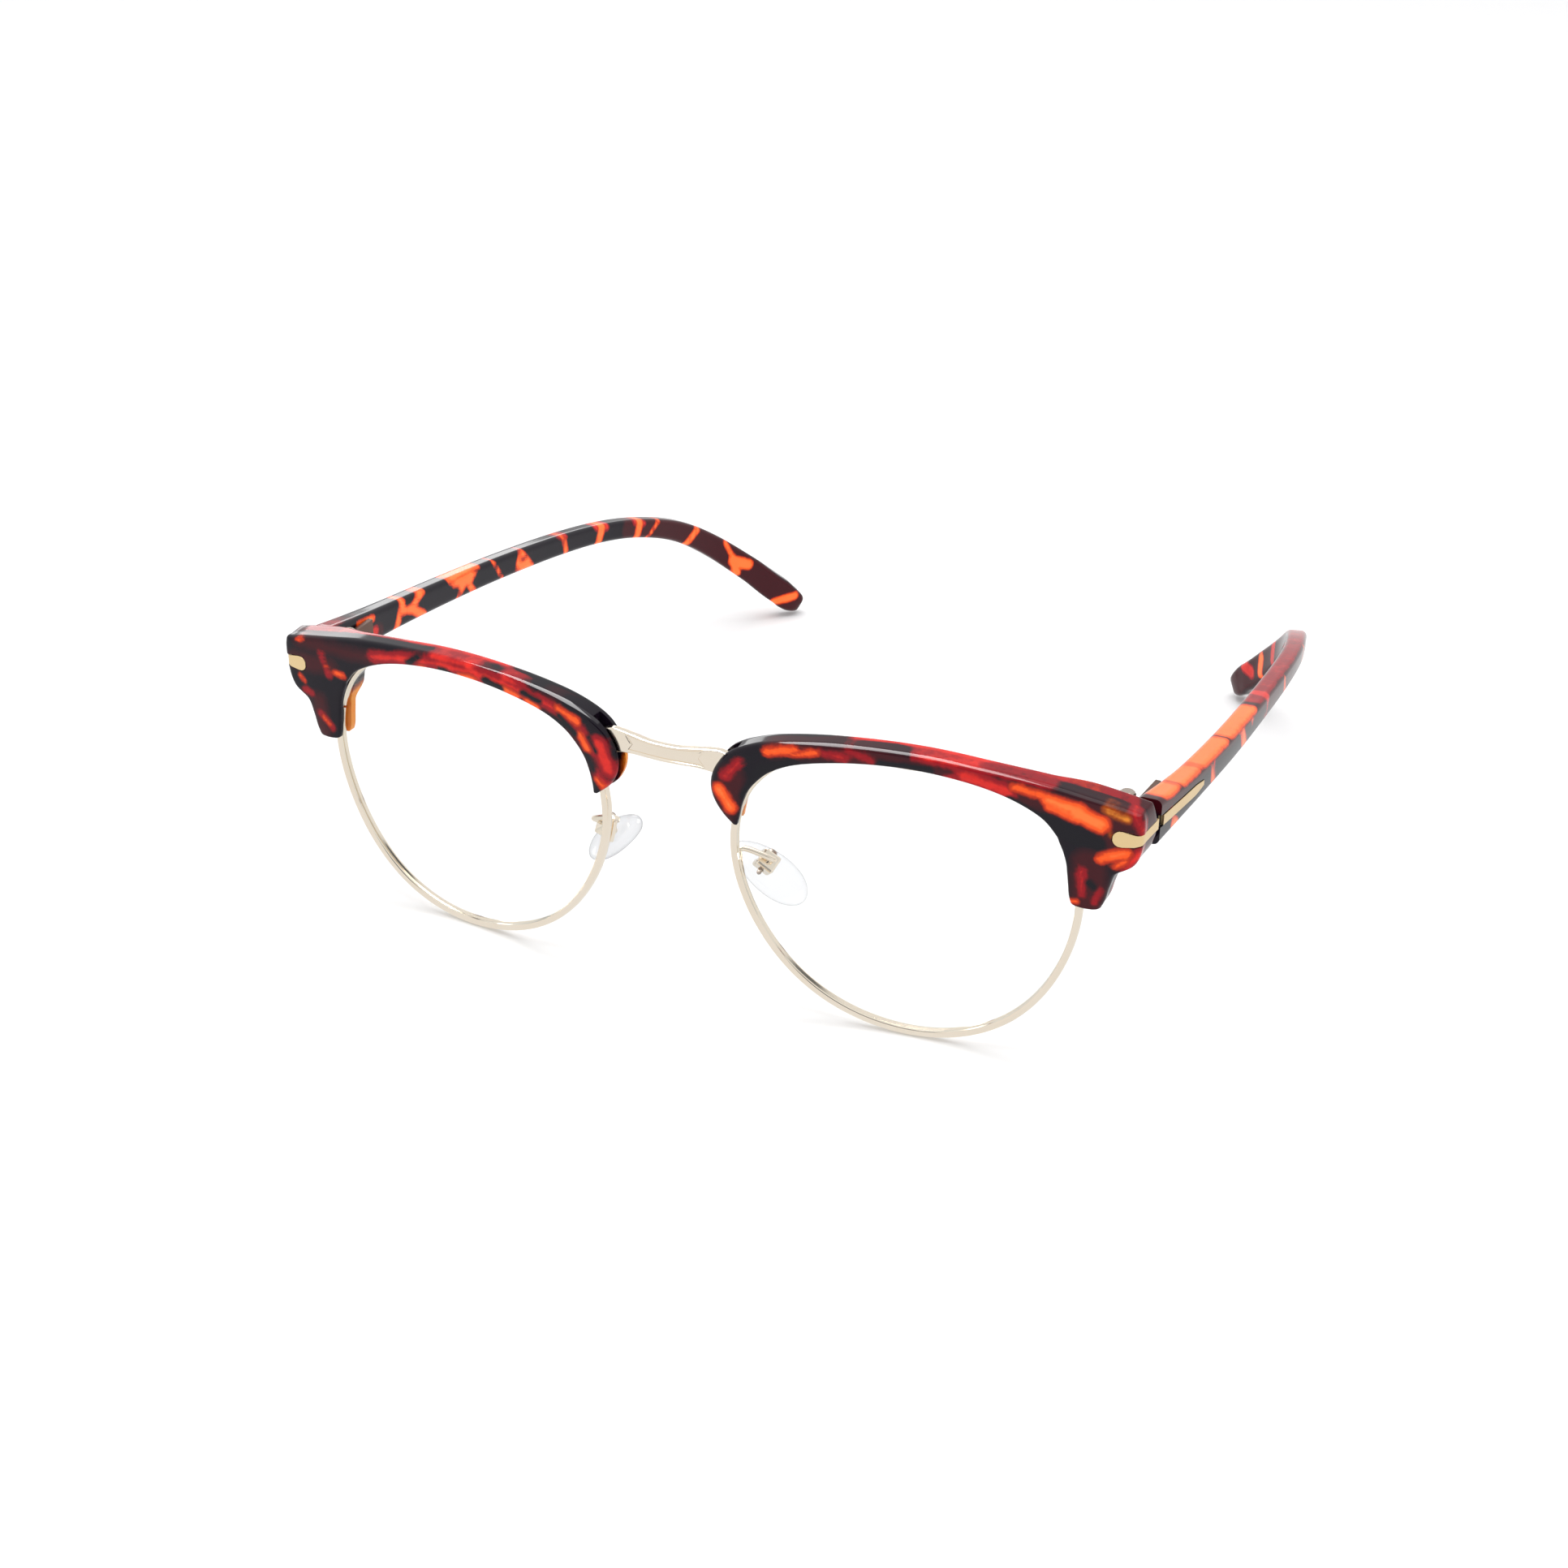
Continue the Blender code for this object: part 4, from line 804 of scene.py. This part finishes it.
# %% [markdown]
# ## Nose pads
#
# A pad is a soft clear cushion with an oval outline, a little fuller towards one end. A
# squashed sphere would come to a sharp rim, so its levels give (height across its thickness,
# size), from the face on the nose to the back.

# %% Shape of a pad
PAD_DOWN, PAD_BACK, PAD_EGG = (0.76, 0.21, -0.60), (0.15, 0.78, 0.55), 0.14
PAD_LEVELS = ((-0.50, 0.20), (-0.50, 0.42), (-0.495, 0.55), (-0.47, 0.68), (-0.42, 0.80), (-0.32, 0.90),
              (-0.18, 0.96), (-0.05, 0.99), (0.05, 1.0), (0.16, 0.985), (0.27, 0.94), (0.36, 0.88),
              (0.44, 0.79), (0.48, 0.68), (0.50, 0.5), (0.50, 0.25))


def pad_frame(side):
    """Middle, and unit directions down the pad, to its back edge and away from the nose."""
    down = unit(np.array(PAD_DOWN) * (side, 1, 1))
    back = np.array(PAD_BACK) * (side, 1, 1)
    back = unit(back - down * (back @ down))
    out = np.cross(down, back)
    out = out if out[0] * side > 0 else -out
    return behind_rim(*PAD_MIDDLE, side), down, back, out


def pad_rings(side):
    """PAD_LONG cos t down and PAD_SHORT sin t (1 + PAD_EGG cos t) back, at each level's size."""
    place, down, back, out = pad_frame(side)
    cos, sin = circle(72, 1.0).T
    rings = []
    for height, size in PAD_LEVELS:
        long, short = PAD_LONG * size * cos, PAD_SHORT * size * sin * (1 + PAD_EGG * cos)
        rings.append(place + down * long[:, None] + back * short[:, None] + out * PAD_THICK * height)
    return rings


print("a pad is", len(PAD_LEVELS), "levels of", len(pad_rings(1)[0]), "points")

# %% [markdown]
# ## Pad arms
#
# A pad arm is a wire that is brazed to the back of the eyewire, and bends round to the box of
# the pad. It is a circle swept along a curve through six knots.

# %% Pads on their arms
ARM_RADIUS, ARM_SIDEWAYS = 0.45, (0.31, 0.2, 0.93)
ARM_ON_RIM = ((-26.0, 0.6, 1.2), (-26.4, 2.6, 1.5), (-26.0, 4.1, 2.0))
ARM_ON_BOX = (1.1, 0.5, 0.03)
BOX_REACH = PAD_THICK / 2 + 3.0

for name, side in SIDES.items():
    pad = solid(name + "_pad_shell", pad_rings(side))
    piece(pad, name + "_pad", "pad_silicone", name + "_nose_pad")
    place, down, _, out = pad_frame(side)
    knots = [rim_to_world(*knot, side) for knot in ARM_ON_RIM]
    knots += [place - down * PAD_BOX_UP + out * (BOX_REACH + rise) for rise in ARM_ON_BOX]
    path = smooth(knots, 10)
    sideways = np.tile(ARM_SIDEWAYS, (len(path), 1))
    wire = sweep(name + "_pad_wire", path, circle(18, ARM_RADIUS), sideways)
    piece(wire, "frame", "champagne_gold", name + "_pad_arm")
print("pieces so far:", len(made))

# %% [markdown]
# ## Effects that are shared
#
# Two effects are used again and again, so they are node groups that return only values and a
# normal. One turns a colour field into a mask with a ragged edge, once for each colour of the
# shell. The other gives fine wear to the shell and to every metal.

# %% Node helpers
NUMBER, VECTOR = "NodeSocketFloat", "NodeSocketVector"


def new_group(name, inputs, outputs):
    """An empty node group: inputs are numbers with their defaults, outputs have a socket type."""
    group = bpy.data.node_groups.new(name, "ShaderNodeTree")
    for label, default in inputs.items():
        socket = group.interface.new_socket(label, in_out="INPUT", socket_type=NUMBER)
        socket.default_value = default
    for label, kind in outputs.items():
        group.interface.new_socket(label, in_out="OUTPUT", socket_type=kind)
    return group, group.nodes.new("NodeGroupInput"), group.nodes.new("NodeGroupOutput")


def place_group(tree, group, **values):
    """The group as a node in this tree, with its own values."""
    node = tree.nodes.new("ShaderNodeGroup")
    node.node_tree = group
    for label, value in values.items():
        node.inputs[label].default_value = value
    return node


def math_node(tree, operation, a, b=None, c=None, clamp=False):
    """A Math node whose inputs are sockets or plain numbers."""
    node = tree.nodes.new("ShaderNodeMath")
    node.operation = operation
    node.use_clamp = clamp
    for socket, value in zip(node.inputs, (a, b, c)):
        if isinstance(value, (int, float)):
            socket.default_value = value
        elif value is not None:
            tree.links.new(value, socket)
    return node.outputs[0]


def noise(tree, scale, detail=2.0, roughness=0.5):
    """Noise from 0 to 1 on the object's own coordinates, in metres."""
    node = tree.nodes.new("ShaderNodeTexNoise")
    node.inputs["Scale"].default_value = scale
    node.inputs["Detail"].default_value = detail
    node.inputs["Roughness"].default_value = roughness
    place = tree.nodes.new("ShaderNodeTexCoord").outputs["Object"]
    tree.links.new(place, node.inputs["Vector"])
    return node.outputs["Fac"]


print("sockets of a group:", NUMBER, "and", VECTOR)

# %% Node groups
def shell_mask_group():
    """field + Ragged (coarse + 0.35 fine noise), and from Low to High it becomes 0 to 1."""
    inputs = {"Field": FAR, "Ragged": 0.5, "Low": -0.2, "High": 0.2}
    group, inside, outside = new_group("Shell mask", inputs, {"Mask": NUMBER})
    coarse = math_node(group, "SUBTRACT", noise(group, 420.0, 3.0), 0.5)
    fine = math_node(group, "SUBTRACT", noise(group, 1700.0, 2.0), 0.5)
    edge = math_node(group, "MULTIPLY_ADD", fine, 0.35, coarse)
    edge = math_node(group, "MULTIPLY", edge, inside.outputs["Ragged"])
    moved = math_node(group, "ADD", inside.outputs["Field"], edge)
    ramp = group.nodes.new("ShaderNodeMapRange")
    group.links.new(moved, ramp.inputs["Value"])
    group.links.new(inside.outputs["Low"], ramp.inputs["From Min"])
    group.links.new(inside.outputs["High"], ramp.inputs["From Max"])
    group.links.new(ramp.outputs["Result"], outside.inputs["Mask"])
    return group


def fine_wear_group():
    """Roughness + Amount (cloud - 1/2), and a bump of fine marks, at most 0.03 mm deep."""
    inputs = {"Roughness": 0.1, "Amount": 0.05, "Bump": 0.03}
    outputs = {"Roughness": NUMBER, "Normal": VECTOR}
    group, inside, outside = new_group("Fine wear", inputs, outputs)
    cloud = math_node(group, "SUBTRACT", noise(group, 160.0, 4.0, 0.6), 0.5)
    amount, level = inside.outputs["Amount"], inside.outputs["Roughness"]
    rough = math_node(group, "MULTIPLY_ADD", cloud, amount, level, clamp=True)
    bump = group.nodes.new("ShaderNodeBump")
    bump.inputs["Distance"].default_value = 0.03 * MM
    group.links.new(inside.outputs["Bump"], bump.inputs["Strength"])
    group.links.new(noise(group, 900.0, 4.0), bump.inputs["Height"])
    group.links.new(rough, outside.inputs["Roughness"])
    group.links.new(bump.outputs["Normal"], outside.inputs["Normal"])
    return group


SHELL_MASK = shell_mask_group()
FINE_WEAR = fine_wear_group()
print("node groups:", SHELL_MASK.name, "and", FINE_WEAR.name)

# %% [markdown]
# ## Tortoiseshell
#
# Shell plastic is near-black stock with clear ruby, amber and honey chips pressed into it.
# Each colour has its own field and its own ramp from a dark edge to a bright middle, and lies
# over the one before. Light bleeds a little way through the bright ones (subsurface).

# %% Material helpers
def blank_material(name):
    """A new material with nothing in it but its output node."""
    mat = bpy.data.materials.new(name)
    mat.use_nodes = True
    mat.node_tree.nodes.clear()
    return mat, mat.node_tree, mat.node_tree.nodes.new("ShaderNodeOutputMaterial")


def new_material(name):
    """A new material with a Principled BSDF."""
    mat, tree, output = blank_material(name)
    shader = tree.nodes.new("ShaderNodeBsdfPrincipled")
    tree.links.new(shader.outputs["BSDF"], output.inputs["Surface"])
    return mat, tree, shader


def wear(tree, shader, roughness, amount, bump):
    """Fine wear on this shader's roughness and normal."""
    node = place_group(tree, FINE_WEAR, Roughness=roughness, Amount=amount, Bump=bump)
    tree.links.new(node.outputs["Roughness"], shader.inputs["Roughness"])
    tree.links.new(node.outputs["Normal"], shader.inputs["Normal"])


def mix(tree, fac, below, above):
    """below (1 - fac) + above fac; each colour is a socket or three numbers."""
    node = tree.nodes.new("ShaderNodeMix")
    node.data_type = "RGBA"
    tree.links.new(fac, node.inputs["Factor"])
    for socket, value in ((node.inputs["A"], below), (node.inputs["B"], above)):
        if isinstance(value, tuple):
            socket.default_value = (*value, 1.0)
        else:
            tree.links.new(value, socket)
    return node.outputs["Result"]


print("materials from the CAD part:", len(bpy.data.materials))

# %% Plastic
STOCK = ((0.003, 0.003, 0.008), (0.010, 0.005, 0.010))
MAROON, INK, RUBY_STREAK = (0.050, 0.004, 0.008), (0.006, 0.005, 0.009), (0.30, 0.003, 0.012)
RUBY = ((0.0, (0.03, 0.002, 0.004)), (0.5, (0.30, 0.004, 0.010)), (1.0, (0.86, 0.030, 0.018)))
AMBER = ((0.0, (0.12, 0.008, 0.004)), (0.32, (0.52, 0.030, 0.006)), (0.6, (0.98, 0.105, 0.012)),
         (1.0, (1.0, 0.22, 0.045)))
HONEY = ((0.0, (0.10, 0.010, 0.002)), (0.5, (0.36, 0.060, 0.003)), (1.0, (0.80, 0.27, 0.025)))


def shell_mask(tree, field, ragged, low, high):
    """The mask of one colour, from its field on the vertices."""
    layer = tree.nodes.new("ShaderNodeAttribute")
    layer.attribute_name = field
    node = place_group(tree, SHELL_MASK, Ragged=ragged, Low=low, High=high)
    tree.links.new(layer.outputs["Fac"], node.inputs["Field"])
    return node.outputs["Mask"]


def cloud_colour(tree, fac, stops):
    """A colour ramp through (position, colour) stops."""
    ramp = tree.nodes.new("ShaderNodeValToRGB")
    ramp.color_ramp.interpolation = "EASE"
    while len(ramp.color_ramp.elements) < len(stops):
        ramp.color_ramp.elements.new(0.5)
    for element, (position, colour) in zip(ramp.color_ramp.elements, stops):
        element.position = position
        element.color = (*colour, 1.0)
    tree.links.new(fac, ramp.inputs["Fac"])
    return ramp.outputs["Color"]


def tortoise():
    """Near-black plastic with ruby, honey and amber clouds, each from its own field."""
    mat, tree, shader = new_material("tortoiseshell plastic")
    ruby_mask = shell_mask(tree, "ruby", 1.2, -0.7, 0.9)
    amber_mask = shell_mask(tree, "amber", 0.9, -0.75, 0.85)
    honey_mask = shell_mask(tree, "honey", 0.9, -0.5, 0.6)
    ruby = cloud_colour(tree, ruby_mask, RUBY)
    streak = math_node(tree, "MULTIPLY", noise(tree, 700.0), 0.6)
    colour = mix(tree, noise(tree, 260.0, 3.0, 0.55), *STOCK)
    colour = mix(tree, shell_mask(tree, "maroon", 1.0, -0.8, 0.8), colour, MAROON)
    for mask, strength, cloud in ((ruby_mask, 2.6, mix(tree, streak, ruby, RUBY_STREAK)),
                                  (honey_mask, 1.6, cloud_colour(tree, honey_mask, HONEY)),
                                  (amber_mask, 3.2, cloud_colour(tree, amber_mask, AMBER))):
        colour = mix(tree, math_node(tree, "MULTIPLY", mask, strength, clamp=True), colour, cloud)
    colour = mix(tree, shell_mask(tree, "ink", 0.8, -0.3, 0.3), colour, INK)
    tree.links.new(colour, shader.inputs["Base Color"])
    glow = math_node(tree, "MAXIMUM", math_node(tree, "MAXIMUM", ruby_mask, amber_mask), honey_mask)
    tree.links.new(math_node(tree, "MULTIPLY", glow, 0.45), shader.inputs["Subsurface Weight"])
    shader.inputs["Subsurface Radius"].default_value = (1.0, 0.30, 0.12)
    shader.inputs["Subsurface Scale"].default_value = 2.2 * MM
    shader.inputs["IOR"].default_value = 1.49
    shader.inputs["Specular IOR Level"].default_value = 0.26
    wear(tree, shader, 0.07, 0.04, 0.03)
    return mat


print("stops: ruby", len(RUBY), "honey", len(HONEY), "amber", len(AMBER))

# %% [markdown]
# ## Metals and clear parts
#
# A metal is a Principled BSDF whose colour drifts between two close tones. The lenses and pads
# are thin, so light goes straight through them: a transparent shader, a touch of haze, and a
# reflection that grows as facing^5 towards a grazing view, as it does on glass.

# %% Metal and clear recipes
def metal(name, colour, tint, roughness, bump, spread=0.10):
    """Full metal between colour and tint, with fine wear."""
    mat, tree, shader = new_material(name)
    tree.links.new(mix(tree, noise(tree, 120.0, 3.0), colour, tint), shader.inputs["Base Color"])
    shader.inputs["Metallic"].default_value = 1.0
    wear(tree, shader, roughness, spread, bump)
    return mat


def blend(tree, share, below, above):
    """A Mix Shader of two shader nodes; share is a socket or a number."""
    node = tree.nodes.new("ShaderNodeMixShader")
    if isinstance(share, float):
        node.inputs["Fac"].default_value = share
    else:
        tree.links.new(share, node.inputs["Fac"])
    tree.links.new(below.outputs[0], node.inputs[1])
    tree.links.new(above.outputs[0], node.inputs[2])
    return node


def see_through(name, tint, rim_tint, haze, head_on, grazing, roughness):
    """Clear, less so where it grazes; it reflects from head_on to grazing as facing^5 grows."""
    mat, tree, output = blank_material(name)
    clear = tree.nodes.new("ShaderNodeBsdfTransparent")
    milk = tree.nodes.new("ShaderNodeBsdfTranslucent")
    milk.inputs["Color"].default_value = (0.9, 0.92, 0.93, 1.0)
    gloss = tree.nodes.new("ShaderNodeBsdfGlossy")
    gloss.inputs["Roughness"].default_value = roughness
    weight = tree.nodes.new("ShaderNodeLayerWeight")
    weight.inputs["Blend"].default_value = 0.5
    facing = weight.outputs["Facing"]
    skin = math_node(tree, "POWER", facing, 2.5)
    tree.links.new(mix(tree, skin, tint, rim_tint), clear.inputs["Color"])
    power = math_node(tree, "POWER", facing, 5.0)
    share = math_node(tree, "MULTIPLY_ADD", power, grazing - head_on, head_on, clamp=True)
    body = blend(tree, haze, clear, milk)
    tree.links.new(blend(tree, share, body, gloss).outputs[0], output.inputs["Surface"])
    return mat


FINISHES = {
    "tortoise": tortoise(),
    "champagne_gold": metal("polished champagne gold", (0.90, 0.79, 0.64), (0.95, 0.86, 0.74), 0.13, 0.04),
    "inlay_gold": metal("brushed yellow gold", (0.84, 0.58, 0.26), (0.97, 0.78, 0.47), 0.30, 0.35, 0.2),
    "hinge_metal": metal("plated hinge", (0.12, 0.065, 0.05), (0.22, 0.13, 0.10), 0.24, 0.10),
    "screw_steel": metal("screw steel", (0.40, 0.33, 0.28), (0.52, 0.45, 0.40), 0.22, 0.06),
    "clear_lens": see_through("clear lens", (0.996, 0.998, 0.997), (0.95, 0.965, 0.96),
                              0.003, 0.012, 0.5, 0.0),
    "pad_silicone": see_through("clear silicone", (0.955, 0.958, 0.965), (0.55, 0.56, 0.58),
                                0.12, 0.04, 0.8, 0.10),
}
print("finishes:", ", ".join(FINISHES))

# %% [markdown]
# ## A finish for every piece
#
# New pieces know their slot. The CAD nodes that still show, such as the screws, hinges and pad
# boxes, take the slot that the record gives them, and smooth shading with crisp edges.

# %% Finishes on the pieces
NODE_SHARP = 30
finish_of = {obj: obj["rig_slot"] for obj in made.values()}
slots = {row["node"]: row["material_slot"] for row in frame["record"]["subparts"]}
for node, obj in frame["nodes"].items():
    if not obj.hide_render:
        finish_of[obj] = slots[node]
        finish_surface(obj, NODE_SHARP)
for obj, slot in finish_of.items():
    obj.data.materials.clear()
    obj.data.materials.append(FINISHES[slot])
print("pieces with a finish:", len(finish_of))

# %% [markdown]
# ## Studio
#
# A white table under a bright tent. A large light overhead gives the soft contact shadows. A low
# strip behind and a panel above show only as sheen on the top faces, and two dark cards give
# the polished metal something to reflect.

# %% Table, cards and tent
AIM = (0.0, 0.0, 0.02)


def turned_to(location, aim):
    """The rotation that points a plane or a light from its location at aim."""
    return (Vector(aim) - Vector(location)).to_track_quat("-Z", "Y").to_euler()


def plane(name, size, location, mat, aim=None):
    """A flat sheet of that size, facing up or facing away from aim."""
    bm = bmesh.new()
    bmesh.ops.create_grid(bm, x_segments=1, y_segments=1, size=0.5)
    bmesh.ops.scale(bm, verts=bm.verts, vec=(*size, 1.0))
    mesh = bpy.data.meshes.new(name)
    bm.to_mesh(mesh)
    bm.free()
    mesh.materials.append(mat)
    obj = bpy.data.objects.new(name, mesh)
    bpy.context.scene.collection.objects.link(obj)
    obj.location = location
    if aim is not None:
        obj.rotation_euler = turned_to(location, aim)
    return obj


def matt(name, colour, roughness, specular):
    """One plain dull colour."""
    mat, _, shader = new_material(name)
    shader.inputs["Base Color"].default_value = (*colour, 1.0)
    shader.inputs["Roughness"].default_value = roughness
    shader.inputs["Specular IOR Level"].default_value = specular
    return mat


table = plane("table", (8.0, 8.0), (0.0, 0.0, -0.2 * MM), matt("white table", (0.93, 0.93, 0.935), 0.9, 0.1))
table.visible_glossy = False

black = matt("dark card", (0.06, 0.06, 0.065), 1.0, 0.5)
for name, size, location in (("card_front", (1.3, 0.34), (0.30, -1.15, 0.42)),
                             ("card_left", (0.4, 0.22), (-0.95, -0.10, 0.20))):
    card = plane(name, size, location, black, AIM)
    card.visible_camera = False
    card.visible_shadow = False
    card.visible_diffuse = False

world = bpy.data.worlds.new("tent")
world.use_nodes = True
sky = world.node_tree.nodes["Background"]
sky.inputs["Color"].default_value = (1.0, 1.0, 1.0, 1.0)
sky.inputs["Strength"].default_value = 0.86
bpy.context.scene.world = world
print("tent strength: %.2f" % sky.inputs["Strength"].default_value)

# %% Lights
def softbox(name, size, location, power, sheen_only=False):
    """A rectangular light aimed at the glasses; sheen_only shows in reflections and nowhere else."""
    light = bpy.data.lights.new(name, "AREA")
    light.shape = "RECTANGLE"
    light.size, light.size_y = size
    light.energy = power
    obj = bpy.data.objects.new(name, light)
    bpy.context.scene.collection.objects.link(obj)
    obj.location = location
    obj.rotation_euler = turned_to(location, AIM)
    obj.visible_camera = False
    obj.visible_diffuse = not sheen_only
    return obj


softbox("back_low", (0.50, 0.16), (-0.62, 0.86, 0.28), 0.65, sheen_only=True)
softbox("panel", (0.95, 0.42), (-0.20, -0.06, 0.80), 19.0, sheen_only=True)
softbox("overhead", (1.2, 1.2), (0.0, 0.0, 1.2), 8.5)

# %% [markdown]
# ## Camera
#
# The camera looks down at 26 degrees, from 25 degrees to the wearer's left, through a 57 mm
# lens. backward points from the target to the camera; level and upward span the view, and ROLL
# turns them about its middle.

# %% Camera
AZIMUTH, ELEVATION, ROLL = (math.radians(a) for a in (24.698, 26.016, 0.89))
TARGET = Vector((-2.099, -28.702, 14.764)) * MM
DISTANCE = 406.168 * MM
backward = Vector((math.sin(AZIMUTH) * math.cos(ELEVATION), -math.cos(AZIMUTH) * math.cos(ELEVATION),
                   math.sin(ELEVATION)))
level = Vector((math.cos(AZIMUTH), math.sin(AZIMUTH), 0.0))
upward = backward.cross(level)
right = level * math.cos(ROLL) + upward * math.sin(ROLL)
upward = upward * math.cos(ROLL) - level * math.sin(ROLL)
camera_data = bpy.data.cameras.new("camera")
camera_data.lens = 56.8
camera_data.sensor_width = 36.0
camera_data.clip_start = 0.01
camera = bpy.data.objects.new("camera", camera_data)
bpy.context.scene.collection.objects.link(camera)
axes = Matrix((right, upward, backward)).transposed().to_4x4()
camera.matrix_world = Matrix.Translation(TARGET + backward * DISTANCE) @ axes
bpy.context.scene.camera = camera
bpy.context.scene.view_settings.view_transform = "Standard"
print("camera at", [round(c, 3) for c in camera.matrix_world.translation])
